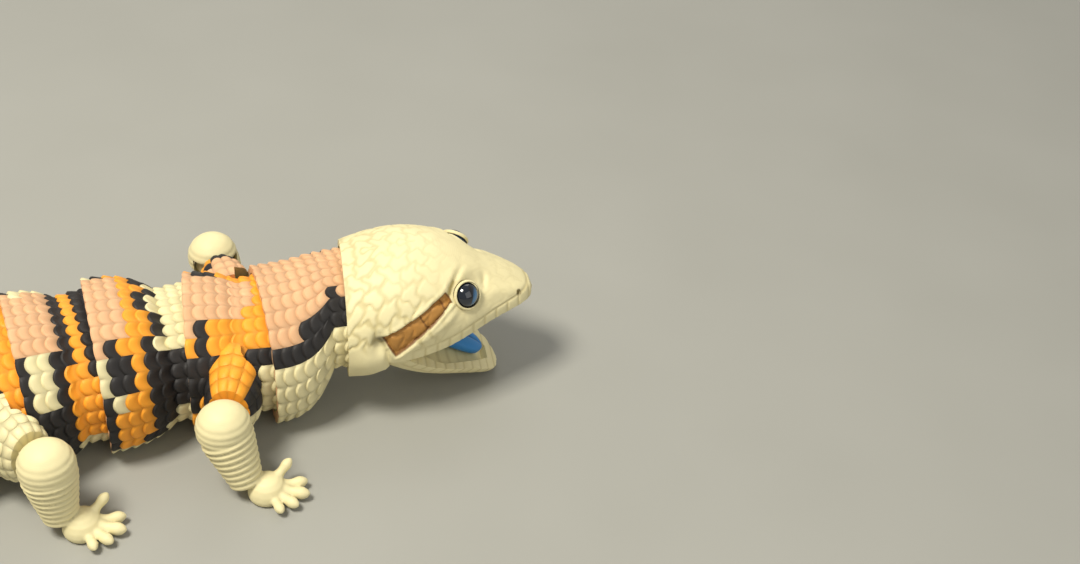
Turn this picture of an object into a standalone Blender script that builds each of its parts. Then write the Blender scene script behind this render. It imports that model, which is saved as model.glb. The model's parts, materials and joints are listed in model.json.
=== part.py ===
"""Jointed toy skink, printed in matte plastic.

A chain of hollow-backed segments: the cup at the rear of each one takes the rounded
nose of the next, which swings level on an upright pin. The legs swing the same way,
and the lower jaw swings on two stub pins in the cheeks.

The head points along +X, the belly rests on z = 0, and the chain bends in plan.
"""
import math
from collections import namedtuple

import bmesh
import bpy
from mathutils import Matrix, Vector

MM = 0.001

# Walls, clearances and the swing that each spine joint allows to either side
WALL = 2.0 * MM
GAP = 0.45 * MM
SWING = math.radians(14)

# Cross sections: how square the back and the belly are, and where they are widest
BACK_POWER = 2.1
BELLY_POWER = 2.6
WIDEST = 0.46
BELLY_SINK = 1.07
FLAT_SINK = 1.0 * MM

# Scale relief of the segments
COLUMNS = 13
TAIL_COLUMNS = 9
ROW_LENGTH = 6.2 * MM
SCALE_RISE = 0.7 * MM
SCALE_LOBE = 0.5 * MM
STEP_LENGTH = 0.3 * MM

# Links: upright pin, the eye round it and the slot that the eye works in
PIN_RADIUS = 2.6 * MM
EYE_RADIUS = 5.4 * MM
PLATE_HEIGHT = 4.8 * MM
SLOT_HALF = 7.2 * MM
LINK_WIDTH = 27 * MM
NOSE = 6.0 * MM
SHORT_NOSE = 4.2 * MM

# Head
HEAD_LENGTH = 57 * MM
HEAD_LIFT = 11.0 * MM
HEAD_PITCH = math.radians(3)
HEAD_SIDES = 28
EYE_BALL = 4.0 * MM
EYE_PLACE = (35.3 * MM, 26.3 * MM)
NOSTRIL_PLACE = (51.8 * MM, 19.5 * MM)
EAR_PLACE = (8.6 * MM, 20.4 * MM)
TEMPLE_START = Vector((29.5 * MM, 27.6 * MM))
TEMPLE_END = Vector((11.5 * MM, 17.2 * MM))
TEMPLE_DEPTH = 0.7 * MM
BROW_RISE = 1.3 * MM

# Jaw
HINGE = (17.8 * MM, 11.5 * MM)
HUB_RADIUS = 5.2 * MM
HUB_HALF = 16.0 * MM
JAW_PIN_RADIUS = 2.0 * MM
JAW_PIN_LENGTH = 2.2 * MM
JAW_REAR = 12.2 * MM
JAW_REACH = 0.92
GAPE = math.radians(46)
LIP_WALL = 3.0 * MM
TROUGH_DEPTH = 2.6 * MM
TONGUE_HALF = 5.8 * MM
TONGUE_HEIGHT = 5.0 * MM
PALATE_DEPTH = 4.4 * MM

# Legs
LEG_RADIUS = 9.0 * MM
LEG_TOP = 30 * MM
LEG_WAIST = 21 * MM
LEG_SWING = math.radians(18)
STUB_HALF = 7.6 * MM
STUB_ROOT = 0.4
STUB_STATIONS = (
    # part of the length, share of the half width, underside and top in millimetres
    (0, 1.0, 6, 31),
    (0.45, 1.0, 7, 30.5),
    (0.8, 0.9, 9, 29.5),
    (1, 0.75, 12, 28),
)
TOE_COUNT = 5
TOE_LENGTH = 10.5 * MM
TOE_RADIUS = 2.5 * MM

# A rim is the outer section at the rear edge of a piece: half width, underside, top
Rim = namedtuple("Rim", "half under top")
Piece = namedtuple("Piece", "name length heading rim nose swing columns colour")

# A limb's link lies ahead of its segment's front joint and out from the middle line
Limb = namedtuple("Limb", "name ahead out reach wrist turn")
LIMBS = {
    "chest": Limb("front_leg", -13 * MM, 39.5 * MM, -5 * MM, (5 * MM, 4.5 * MM), math.radians(18)),
    "pelvis": Limb("hind_leg", -4 * MM, 40 * MM, 6 * MM, (0.5 * MM, 2.5 * MM), math.radians(38)),
}

HEAD_RIM = Rim(22.5 * MM, HEAD_LIFT, HEAD_LIFT + 34 * MM)
HEAD_HEADING = 13
TAIL_RIM = Rim(24.5 * MM, 0, 38 * MM)
TAIL_PIECES = 6
TAIL_LENGTHS = (25 * MM, 19.5 * MM)
TAIL_END = Rim(8.5 * MM, 0, 13.5 * MM)
TAIL_HEADINGS = (43, 14)

BODY_PIECES = (
    Piece("neck", 24.4 * MM, 21, Rim(24.6 * MM, 0, 39 * MM), SHORT_NOSE, SWING, COLUMNS, "salmon"),
    Piece("chest", 21.5 * MM, 15, Rim(24.6 * MM, 0, 38.5 * MM), NOSE, SWING, COLUMNS, "orange"),
    Piece("trunk_1", 26.5 * MM, 23, Rim(26.6 * MM, 0, 41.5 * MM), SHORT_NOSE, SWING, COLUMNS, "cream"),
    Piece("trunk_2", 21.5 * MM, 27, Rim(27 * MM, 0, 42 * MM), SHORT_NOSE, SWING, COLUMNS, "salmon"),
    Piece("pelvis", 26 * MM, 35, TAIL_RIM, NOSE, SWING, COLUMNS, "cream"),
)

COLOURS = {
    "cream": (0.76, 0.68, 0.42),
    "salmon": (0.72, 0.42, 0.24),
    "orange": (0.86, 0.30, 0.03),
    "tongue_blue": (0.03, 0.16, 0.52),
    "eye_blue": (0.02, 0.09, 0.22),
}


def mix(low, high, part):
    """Value that lies the given part of the way from low to high."""
    return low + (high - low) * part


def along(stations, place):
    """Smooth values at a place, through stations of (place, value, value ...)."""
    places = [station[0] for station in stations]
    last = len(stations) - 1
    place = min(max(place, places[0]), places[-1])
    index = next(i for i in range(last) if place <= places[i + 1])
    width = places[index + 1] - places[index]
    part = (place - places[index]) / width

    def slope(at, channel):
        before, after = max(at - 1, 0), min(at + 1, last)
        rise = stations[after][channel] - stations[before][channel]
        return rise / (places[after] - places[before]) * width

    values = []
    for channel in range(1, len(stations[0])):
        start, end = stations[index][channel], stations[index + 1][channel]
        first, second = slope(index, channel), slope(index + 1, channel)
        values.append(
            start * (2 * part ** 3 - 3 * part ** 2 + 1) + first * (part ** 3 - 2 * part ** 2 + part)
            + end * (3 * part ** 2 - 2 * part ** 3) + second * (part ** 3 - part ** 2)
        )
    return values


def make_materials():
    """One matte material for each colour, with glossy eyes."""
    materials = {}
    for name, colour in COLOURS.items():
        material = bpy.data.materials.new(name)
        material.use_nodes = True
        shader = material.node_tree.nodes["Principled BSDF"]
        shader.inputs["Base Color"].default_value = (*colour, 1)
        shader.inputs["Roughness"].default_value = 0.15 if name == "eye_blue" else 0.6
        materials[name] = material
    return materials


def object_from(name, mesh):
    """Links a mesh to the scene as an object."""
    piece = bpy.data.objects.new(name, mesh)
    bpy.context.scene.collection.objects.link(piece)
    return piece


def finish_mesh(name, bm):
    """Turns a closed bmesh into an object whose faces point outwards."""
    bmesh.ops.recalc_face_normals(bm, faces=bm.faces)
    mesh = bpy.data.meshes.new(name)
    bm.to_mesh(mesh)
    bm.free()
    return object_from(name, mesh)


def loft(name, rings):
    """Closed skin over rings of points, capped at both ends."""
    bm = bmesh.new()
    rows = [[bm.verts.new(point) for point in ring] for ring in rings]
    for first, second in zip(rows, rows[1:]):
        count = len(first)
        for i in range(count):
            j = (i + 1) % count
            bm.faces.new((first[i], first[j], second[j]))
            bm.faces.new((first[i], second[j], second[i]))
    bm.faces.new(rows[0])
    bm.faces.new(rows[-1])
    return finish_mesh(name, bm)


def prism(name, outline, low, high, place):
    """Solid of a plane outline, from low to high, with place turning (u, v, w) to a point."""
    return loft(name, [[place(u, v, w) for u, v in outline] for w in (low, high)])


def upright(u, v, w):
    """Outline in plan, extruded upwards."""
    return Vector((u, v, w))


def sideways(u, v, w):
    """Outline seen from the side, extruded across."""
    return Vector((u, w, v))


def circle(centre, radius, sides, start=0.0, end=math.tau):
    """Points on a circle, or on a part of it with both ends."""
    whole = abs(end - start - math.tau) < 1e-6
    steps = sides if whole else sides - 1
    angles = [start + (end - start) * i / steps for i in range(sides)]
    return [(centre[0] + radius * math.cos(a), centre[1] + radius * math.sin(a)) for a in angles]


def ball(name, centre, radii, columns=12, rows=6):
    """Ellipsoid."""
    bm = bmesh.new()
    bmesh.ops.create_uvsphere(bm, u_segments=columns, v_segments=rows, radius=1)
    bmesh.ops.scale(bm, verts=bm.verts, vec=Vector(radii))
    bmesh.ops.translate(bm, verts=bm.verts, vec=Vector(centre))
    return finish_mesh(name, bm)


def combine(body, tool, operation):
    """Applies one Boolean of a tool object to a body, and removes the tool."""
    modifier = body.modifiers.new("Boolean", "BOOLEAN")
    modifier.operation = operation
    modifier.solver = "EXACT"
    modifier.object = tool
    graph = bpy.context.evaluated_depsgraph_get()
    mesh = bpy.data.meshes.new_from_object(body.evaluated_get(graph))
    body.modifiers.clear()
    body.data = mesh
    bpy.data.objects.remove(tool)


def add(body, tool):
    """Joins a tool to a body."""
    combine(body, tool, "UNION")


def cut(body, tool):
    """Cuts a tool out of a body."""
    combine(body, tool, "DIFFERENCE")


def inset(rim, depth):
    """The rim's section moved inwards on all sides."""
    return Rim(rim.half - depth, rim.under + depth, rim.top - depth)


def middle(rim):
    """Height at which a section is widest."""
    return mix(rim.under, rim.top, WIDEST)


def inside(rim, across, height):
    """True where a point lies within a section."""
    if height < rim.under:
        return False
    centre = middle(rim)
    if height > centre:
        rise, power = (height - centre) / (rim.top - centre), BACK_POWER
    else:
        rise, power = (centre - height) / ((centre - rim.under) * BELLY_SINK), BELLY_POWER
    return rise ** power + (abs(across) / rim.half) ** power < 1


def ring(rim, columns, ahead=0.0):
    """Points of the turned section, where a plane cuts it this far from its axis.

    The section is turned about the joint's upright axis, so that every such ring
    keeps the same distance from it and the nose swings freely in its cup.
    """
    points = []
    centre = middle(rim)
    for i in range(2 * columns):
        angle = math.pi * i / columns
        across, up = math.sin(angle), math.cos(angle)
        near, far = 0.0, 2 * rim.half
        for _ in range(36):
            reach = (near + far) / 2
            if inside(rim, math.hypot(reach * across, ahead), centre + reach * up):
                near = reach
            else:
                far = reach
        points.append(Vector((ahead, near * across, centre + near * up)))
    return points


def link_size(rim):
    """Size of a rim's link beside that of the widest one."""
    return min(1.0, rim.half / LINK_WIDTH)


def link_height(rim):
    """Height of the middle of a rim's link."""
    return (rim.under + rim.top) / 2


def wall_place(rim, nose, swing):
    """How far ahead of its axis the front wall of a cup stands, clear of the nose."""
    return nose * math.cos(swing) + (rim.half - WALL) * math.sin(swing) + 0.8 * MM


def flare_start(rim, swing):
    """How far behind the axis the skin may leave the turned surface."""
    return (rim.half - WALL) * math.tan(swing) + 1.0 * MM


def cut_cup(body, rim, nose, swing, columns, place):
    """Hollows the rear of a body and leaves the link's plate with its eye in the hollow."""
    inner = inset(rim, WALL)
    wall = wall_place(rim, nose, swing)
    steps = 3
    depths = [mix(-3 * MM * link_size(rim), wall, i / steps) for i in range(steps + 1)]
    rings = [[point + Vector((place, 0, 0)) for point in ring(inner, columns, d)] for d in depths]
    cut(body, loft("cup", rings))
    size = link_size(rim)
    height = link_height(rim)
    low, high = height - PLATE_HEIGHT * size / 2, height + PLATE_HEIGHT * size / 2
    eye = EYE_RADIUS * size
    half = 0.75 * eye
    edge = math.asin(half / eye)
    outline = circle((place, 0), eye, 11, edge, math.tau - edge)
    root = place + wall + 1.2 * MM
    outline = [(root, half)] + outline + [(root, -half)]
    add(body, prism("plate", outline, low, high, upright))
    hole = circle((place, 0), PIN_RADIUS * size + GAP, 12)
    cut(body, prism("hole", hole, low - 1 * MM, high + 1 * MM, upright))


def cut_slot(body, rim, nose):
    """Slots the nose of a body and stands the pin in the slot."""
    size = link_size(rim)
    height = link_height(rim)
    reach = PLATE_HEIGHT * size / 2 + 0.5 * MM
    back = EYE_RADIUS * size + 0.7 * MM
    half = SLOT_HALF * size
    outline = [(-back, -half), (nose + 2 * MM, -half), (nose + 2 * MM, half), (-back, half)]
    cut(body, prism("slot", outline, height - reach, height + reach, upright))
    pin = circle((0, 0), PIN_RADIUS * size, 10)
    sink = 1.0 * MM
    add(body, prism("pin", pin, height - reach - sink, height + reach + sink, upright))


def raised(point, rim, rise):
    """A skin point moved outwards from the middle of its section."""
    outward = Vector((0, point.y, point.z - middle(rim)))
    return point + outward.normalized() * rise


def segment_rings(front, piece, closed_tip=False):
    """Rings of a segment from its nose to its rear rim, with rows of raised scales."""
    nose_rim = inset(front, WALL + GAP)
    start = flare_start(front, piece.swing)
    places = (piece.nose, 0, -start / 2, -start)
    rings = [ring(nose_rim, piece.columns, place) for place in places]
    base = rings[-1]
    outer = ring(Rim(piece.rim.half, piece.rim.under - FLAT_SINK, piece.rim.top), piece.columns)
    rows = max(2, round((piece.length - start) / ROW_LENGTH))
    for row in range(rows):
        for end in (False, True):
            part = (row + end) / rows
            swell = 1 - (1 - part) ** 3
            back = mix(start, piece.length, part) - (STEP_LENGTH if end and row < rows - 1 else 0)
            points = []
            for i, (inner_point, outer_point) in enumerate(zip(base, outer)):
                point = inner_point.lerp(outer_point, swell)
                crest = 1.0 if i % 2 == 0 else 0.15
                point = raised(point, piece.rim, SCALE_RISE * crest if end else 0)
                lobe = SCALE_LOBE if i % 2 == 0 and 0 < part < 1 else 0
                points.append(Vector((-back - lobe, point.y, max(point.z, 0))))
            if row or end:
                rings.append(points)
    if closed_tip:
        rings = rings[:4] + tip_rings(rings[3], piece)
    return rings


def tip_rings(base, piece):
    """Rings that round the last segment off to a blunt point."""
    rings = []
    start = -base[0].x
    steps = 7
    for step in range(1, steps + 1):
        turn = math.pi / 2 * step / steps
        back = mix(start, piece.length, math.sin(turn) ** 0.9)
        size = max(math.cos(turn) ** 0.8, 0.12)
        centre = piece.rim.top * 0.4
        points = []
        for i, point in enumerate(base):
            crest = SCALE_RISE if i % 2 == 0 and step < steps else 0
            height = centre + (point.z - piece.rim.top * 0.45) * size
            moved = raised(Vector((-back, point.y * size, height)), piece.rim, crest * size)
            points.append(Vector((moved.x, moved.y, max(moved.z, 0))))
        rings.append(points)
    return rings


def build_segment(front, piece, behind=None):
    """One segment: scaled skin, slotted nose with its pin, and the cup for the next one."""
    body = loft(piece.name, segment_rings(front, piece, closed_tip=behind is None))
    limb = LIMBS.get(piece.name)
    if limb:
        for side in (1, -1):
            add_stub(body, limb, side, sweep_room(front, piece))
    if behind:
        cut_cup(body, piece.rim, behind.nose, behind.swing, piece.columns, -piece.length)
    cut_slot(body, front, piece.nose)
    return body


HEAD_STATIONS = (
    # place, half width, underside, top
    (0 * MM, 22.5 * MM, 0 * MM, 34 * MM),
    (9 * MM, 23.4 * MM, 0 * MM, 36.4 * MM),
    (18 * MM, 22.8 * MM, 0.1 * MM, 37.5 * MM),
    (27 * MM, 20.8 * MM, 1.7 * MM, 36 * MM),
    (35 * MM, 17.8 * MM, 4.4 * MM, 32.2 * MM),
    (43 * MM, 13.4 * MM, 7.2 * MM, 27 * MM),
    (50 * MM, 9.8 * MM, 9.9 * MM, 23 * MM),
    (54.3 * MM, 6.9 * MM, 11.6 * MM, 20.2 * MM),
    (56.3 * MM, 4.2 * MM, 13 * MM, 18.4 * MM),
    (57 * MM, 1.5 * MM, 14.6 * MM, 16.8 * MM),
)

LIP_STATIONS = (
    # place, height of the line of the mouth
    (8 * MM, 11.4 * MM),
    (18 * MM, 10.9 * MM),
    (28 * MM, 11.6 * MM),
    (38 * MM, 13.9 * MM),
    (48 * MM, 15.4 * MM),
    (60 * MM, 15.8 * MM),
)


def head_height(place, height):
    """Height above the floor of a point of the head, which is carried high and nose up."""
    return HEAD_LIFT + height + place * math.tan(HEAD_PITCH)


def head_section(place):
    """Section of the closed head at a place ahead of its rear rim."""
    half, under, top = along(HEAD_STATIONS, place)
    return Rim(half, head_height(place, under), head_height(place, top))


def lip(place):
    """Height above the floor of the line of the mouth."""
    return head_height(place, along(LIP_STATIONS, place)[0])


def head_relief(place, height):
    """How far the side of the head stands out: a brow above the eye, a sunk temple band."""
    spot = Vector((place, height))
    brow = EYE_PLACE[1] + 4.2 * MM
    ahead, above = (place - EYE_PLACE[0]) / (6 * MM), (height - brow) / (2.4 * MM)
    rise = BROW_RISE * math.exp(-ahead ** 2 - above ** 2)
    run = TEMPLE_END - TEMPLE_START
    part = (spot - TEMPLE_START).dot(run) / run.length_squared
    away = (spot - TEMPLE_START - run * part).length
    half = mix(1.4 * MM, 3.2 * MM, part)
    if -0.02 < part < 1.02 and away < half:
        rise -= TEMPLE_DEPTH
    return rise


def head_rings(shrink=0.0, relief=True, start=0.0, end=HEAD_LENGTH):
    """Rings of the closed head, or of a form that lies inside it."""
    places = [start + (end - start) * i / 16 for i in range(16)]
    places += [end - (end - start) * part for part in (0.03, 0.0125, 0)]
    rings = []
    for place in places:
        section = head_section(place)
        section = Rim(section.half - shrink, section.under, section.top)
        points = []
        for point in ring(section, HEAD_SIDES // 2):
            moved = Vector((place, point.y, point.z))
            if relief:
                rise = head_relief(place, point.z - head_height(place, 0))
                moved = raised(moved, section, rise)
            points.append(moved)
        rings.append(points)
    return rings


def lip_outline(offset, start, end, far):
    """Outline seen from the side, between the line of the mouth and a far height."""
    steps = 14
    line = []
    for i in range(steps + 1):
        place = mix(start, end, i / steps)
        line.append((place, lip(place) + offset))
    return line + [(end, far), (start, far)]


def side_spot(place, height):
    """Point of the head's skin at a place and height, and its outward direction."""
    section = head_section(place)
    level = head_height(place, height)
    across = section.half
    while across > 0 and not inside(section, across, level):
        across -= 0.05 * MM
    ahead = head_section(place + 1 * MM)
    narrow = (section.half - ahead.half) / (1 * MM)
    lean = (level - middle(section)) / (section.top - middle(section))
    outward = Vector((narrow, 1, lean)).normalized()
    return Vector((place, across, level)), outward


def mirrored(vector, side):
    """The vector on the left (+1) or on the right (-1)."""
    return Vector((vector.x, vector.y * side, vector.z))


def bar(name, start, end, first, second, sides=12):
    """Round bar between two points, with its own radius at each end."""
    axis = (end - start).normalized()
    turn = axis.to_track_quat("Z", "Y")
    rings = []
    for centre, radius in ((start, first), (end, second)):
        flat = circle((0, 0), radius, sides)
        rings.append([centre + turn @ Vector((u, v, 0)) for u, v in flat])
    return loft(name, rings)


def torus(name, centre, outward, radius, tube, sides=13, round_sides=4):
    """Ring that lies square to a direction."""
    turn = outward.to_track_quat("Z", "Y")
    bm = bmesh.new()
    rows = []
    for i in range(sides):
        around = math.tau * i / sides
        row = []
        for j in range(round_sides):
            section = math.tau * j / round_sides
            reach = radius + tube * math.cos(section)
            local = Vector((reach * math.cos(around), reach * math.sin(around), tube * math.sin(section)))
            row.append(bm.verts.new(centre + turn @ local))
        rows.append(row)
    for i in range(sides):
        first, second = rows[i], rows[(i + 1) % sides]
        for j in range(round_sides):
            k = (j + 1) % round_sides
            bm.faces.new((first[j], second[j], second[k], first[k]))
    return finish_mesh(name, bm)


def build_head(behind):
    """Upper head with its rear cup, cheeks, palate, sockets, ears and nostrils."""
    head = loft("head", head_rings())
    mouth = lip_outline(0, JAW_REAR - 0.5 * MM, HEAD_LENGTH + 4 * MM, -5 * MM)
    cut(head, prism("mouth", mouth, -40 * MM, 40 * MM, sideways))
    hinge = (HINGE[0], head_height(*HINGE))
    notch = circle(hinge, HUB_RADIUS + GAP, 24)
    cut(head, prism("notch", notch, -HUB_HALF - GAP, HUB_HALF + GAP, sideways))
    cut_cup(head, HEAD_RIM, behind.nose, behind.swing, HEAD_SIDES // 2, 0)
    cut(head, palate())
    for side in (1, -1):
        hole = JAW_PIN_LENGTH + HUB_HALF + 0.5 * MM
        low, high = sorted((side * (HUB_HALF - 1 * MM), side * hole))
        bore = circle(hinge, JAW_PIN_RADIUS + GAP, 14)
        cut(head, prism("bore", bore, low, high, sideways))
        spot, outward = side_spot(*EYE_PLACE)
        centre = mirrored(spot - outward * EYE_BALL * 0.45, side)
        add(head, torus("lid", centre + mirrored(outward, side) * EYE_BALL * 0.5,
                        mirrored(outward, side), EYE_BALL * 1.08, 0.85 * MM))
        cut(head, ball("socket", centre, (EYE_BALL + 0.3 * MM,) * 3))
        for place, radius, depth in ((NOSTRIL_PLACE, 0.8 * MM, 1.5 * MM), (EAR_PLACE, 1.5 * MM, 1.2 * MM)):
            spot, outward = side_spot(*place)
            inner, outer = spot - outward * depth, spot + outward * 2 * MM
            cut(head, bar("hole", mirrored(inner, side), mirrored(outer, side), radius * 0.6, radius * 1.6))
    return head


def palate():
    """Hollow of the roof of the mouth."""
    rings = []
    steps = 8
    for i in range(steps + 1):
        part = i / steps
        place = mix(22 * MM, 53 * MM, part)
        half = (head_section(place).half - LIP_WALL) * (1 - 0.5 * abs(2 * part - 1) ** 6)
        low, high = lip(place) - 4 * MM, lip(place) + PALATE_DEPTH
        corner = 0.35
        shoulder = mix(high, low, corner)
        outline = ((half, low), (half, shoulder), (half * 0.7, high), (-half * 0.7, high),
                   (-half, shoulder), (-half, low))
        rings.append([Vector((place, u, v)) for u, v in outline])
    return loft("palate", rings)


def trough():
    """Hollow of the floor of the mouth, in the closed jaw."""
    rings = []
    steps = 8
    for i in range(steps + 1):
        part = i / steps
        place = mix(24.5 * MM, 52.5 * MM, part)
        half = (head_section(place).half - LIP_WALL) * (1 - 0.45 * part ** 6)
        half = min(half, HUB_HALF)
        low, high = lip(place) - TROUGH_DEPTH, lip(place) + 6 * MM
        outline = ((half, high), (half, lip(place) - 0.6 * MM), (half * 0.75, low), (-half * 0.75, low),
                   (-half, lip(place) - 0.6 * MM), (-half, high))
        rings.append([Vector((place, u, v)) for u, v in outline])
    return loft("trough", rings)


def open_jaw(piece):
    """Shortens a piece of the closed jaw and swings it down to the open pose."""
    hinge = Vector((HINGE[0], 0, head_height(*HINGE)))
    turn = Matrix.Rotation(GAPE, 4, "Y") @ Matrix.Diagonal((JAW_REACH, 1, 1, 1))
    piece.data.transform(Matrix.Translation(hinge) @ turn @ Matrix.Translation(-hinge))


def build_jaw():
    """Lower jaw in the open pose, with its hub and pins."""
    jaw = loft("jaw", head_rings(relief=False, start=6 * MM))
    below = lip_outline(-GAP, 4 * MM, HEAD_LENGTH + 4 * MM, -5 * MM)
    combine(jaw, prism("below", below, -40 * MM, 40 * MM, sideways), "INTERSECT")
    cut(jaw, trough())
    open_jaw(jaw)
    above = lip_outline(-GAP, JAW_REAR - 20 * MM, HEAD_LENGTH + 4 * MM, 80 * MM)
    cut(jaw, prism("above", above, -40 * MM, 40 * MM, sideways))
    behind = [(-20 * MM, -40 * MM), (JAW_REAR, -40 * MM), (JAW_REAR, 80 * MM), (-20 * MM, 80 * MM)]
    cut(jaw, prism("behind", behind, -40 * MM, 40 * MM, sideways))
    hinge = (HINGE[0], head_height(*HINGE))
    hub = prism("hub", circle(hinge, HUB_RADIUS, 20), -HUB_HALF, HUB_HALF, sideways)
    length = HUB_HALF + JAW_PIN_LENGTH
    add(hub, prism("pins", circle(hinge, JAW_PIN_RADIUS, 12), -length, length, sideways))
    add(jaw, hub)
    return jaw


def build_tongue():
    """Flat tongue with a rounded tip, lying in the open jaw."""
    rings = []
    steps = 9
    for i in range(steps + 1):
        part = i / steps
        place = mix(27 * MM, 49.5 * MM, part)
        size = max((1 - part ** 4) ** 0.5, 0.25)
        low = lip(place) - TROUGH_DEPTH + 0.15 * MM
        high = low + TONGUE_HEIGHT * (0.6 + 0.4 * size)
        half = TONGUE_HALF * size
        outline = ((half, mix(low, high, 0.3)), (half, mix(low, high, 0.7)), (half * 0.6, high),
                   (0, high - 0.5 * MM * size), (-half * 0.6, high), (-half, mix(low, high, 0.7)),
                   (-half, mix(low, high, 0.3)), (-half * 0.7, low), (half * 0.7, low))
        rings.append([Vector((place, u, v)) for u, v in outline])
    tongue = loft("tongue", rings)
    open_jaw(tongue)
    return tongue


def build_eye(name, side):
    """Round glass eye in its socket."""
    spot, outward = side_spot(*EYE_PLACE)
    centre = mirrored(spot - outward * EYE_BALL * 0.45, side)
    return ball(name, centre, (EYE_BALL,) * 3)


def sweep_room(front, piece):
    """Rings of the room that the rim of the piece ahead needs as it swings."""
    swept = inset(front, -1.6 * MM)
    swept = Rim(swept.half, -3 * MM, swept.top)
    depths = [mix(-flare_start(front, piece.swing), swept.half * 0.9, i / 6) for i in range(7)]
    return [ring(swept, 20, depth) for depth in depths]


def limb_direction(limb, side):
    """Level direction from the root of a limb to its link."""
    return Vector((limb.reach, limb.out * side * (1 - STUB_ROOT), 0)).normalized()


def add_stub(body, limb, side, room):
    """Grows the upper part of a limb out of a segment, with the plate and eye of its link."""
    knee = Vector((limb.ahead, limb.out * side, 0))
    root = Vector((limb.ahead - limb.reach, limb.out * side * STUB_ROOT, 0))
    direction = limb_direction(limb, side)
    across = Vector((-direction.y, direction.x, 0))
    length = (knee - root).length
    end = length - LEG_RADIUS - 0.55 * MM
    rings = []
    for part, half, low, high in STUB_STATIONS:
        centre = root + direction * end * part
        points = []
        for u, v in circle((0, 0), 1, 14):
            height = mix(low * MM, high * MM, (v + 1) / 2)
            points.append(centre + across * u * half * STUB_HALF + Vector((0, 0, height)))
        rings.append(points)
    stub = loft("stub", rings)
    cut(stub, loft("room", room))
    add(body, stub)
    low, high = LEG_WAIST - PLATE_HEIGHT / 2, LEG_WAIST + PLATE_HEIGHT / 2
    half = EYE_RADIUS * 0.6
    edge = math.asin(half / EYE_RADIUS)
    outline = circle((0, 0), EYE_RADIUS, 11, edge, math.tau - edge)
    back = LEG_RADIUS + 2 * MM
    outline = [(back, half)] + outline + [(back, -half)]

    def to_stub(u, v, w):
        return knee - direction * u + across * v + Vector((0, 0, w))

    add(body, prism("plate", outline, low, high, to_stub))
    hole = circle((0, 0), PIN_RADIUS + GAP, 12)
    cut(body, prism("hole", hole, low - 1 * MM, high + 1 * MM, to_stub))


def lathe_rings(radii, sides):
    """Rings about the upright axis, from (radius, height) pairs."""
    rings = []
    for radius, height in radii:
        rings.append([Vector((u, v, height)) for u, v in circle((0, 0), radius, sides)])
    return rings


def build_leg(name, inward, wrist, foot_turn, side):
    """Lower limb: round top with its slot and pin, ringed shank, and a foot with five toes.

    inward is the direction from the link to the body, wrist the place of the wrist.
    """
    crown = []
    for turn in range(0, 5):
        angle = math.pi / 2 * (1 - turn / 4.7)
        crown.append((LEG_RADIUS * math.cos(angle), mix(LEG_WAIST + 1.5 * MM, LEG_TOP, math.sin(angle))))
    crown += [(LEG_RADIUS, LEG_WAIST - 3.5 * MM), (LEG_RADIUS * 0.9, LEG_WAIST - 5.5 * MM),
              (LEG_RADIUS * 0.5, LEG_WAIST - 7.5 * MM)]
    crown[0] = (1.2 * MM, crown[0][1])
    leg = loft(name, lathe_rings(crown, 15))
    add(leg, shank(wrist))
    add(leg, foot(wrist, foot_turn, side))
    reach = PLATE_HEIGHT / 2 + 0.5 * MM
    across = Vector((-inward.y, inward.x, 0))
    wide = EYE_RADIUS * 0.6 + LEG_RADIUS * math.tan(LEG_SWING) + 1.2 * MM
    back = EYE_RADIUS + 0.7 * MM
    outline = circle((0, 0), back * 1.06, 8, math.radians(80), math.radians(280))
    outline += [(LEG_RADIUS * 1.3, -wide * 1.25), (LEG_RADIUS * 1.3, wide * 1.25)]

    def to_leg(u, v, w):
        return inward * u + across * v + Vector((0, 0, w))

    cut(leg, prism("slot", outline, LEG_WAIST - reach, LEG_WAIST + reach, to_leg))
    sink = 1.0 * MM
    pin = circle((0, 0), PIN_RADIUS, 10)
    add(leg, prism("pin", pin, LEG_WAIST - reach - sink, LEG_WAIST + reach + sink, upright))
    return leg


def shank(wrist):
    """Tapered shank from under the round top to the wrist, with ring ridges."""
    start = Vector((0, 0, LEG_WAIST - 2.5 * MM))
    end = Vector((wrist[0], wrist[1], 4.2 * MM))
    axis = (end - start).normalized()
    forward = Vector((axis.z, 0, -axis.x)).normalized()
    sidewards = axis.cross(forward)
    ridges = 4
    rings = []
    for i in range(2 * ridges + 1):
        part = i / (2 * ridges)
        radius = mix(LEG_RADIUS * 0.97, 5.2 * MM, part ** 0.8) * (1.04 if i % 2 else 0.98)
        centre = start.lerp(end, part)
        points = []
        for u, v in circle((0, 0), radius, 12):
            point = centre + forward * u + sidewards * v
            points.append(Vector((point.x, point.y, max(point.z, 0.6 * MM))))
        rings.append(points)
    return loft("shank", rings)


def foot(wrist, turn, side):
    """Palm and five pointed toes, flat on the floor."""
    palm_place = Vector((wrist[0], wrist[1], 0)) + 5.5 * MM * Vector((math.cos(turn), math.sin(turn), 0))
    sole = []
    for radius, height in ((6.0, 0), (6.8, 2), (5.8, 5.4), (1.5, 8)):
        sole.append([palm_place + Vector((u, v, height * MM)) for u, v in circle((0, 0), radius * MM, 12)])
    palm = loft("palm", sole)
    for toe in range(TOE_COUNT):
        spread = mix(-50, 62, toe / (TOE_COUNT - 1)) * side
        angle = turn + math.radians(spread)
        length = TOE_LENGTH * (1 - 0.09 * abs(toe - 1.6))
        add(palm, toe_piece(palm_place, angle, length))
    return palm


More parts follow.
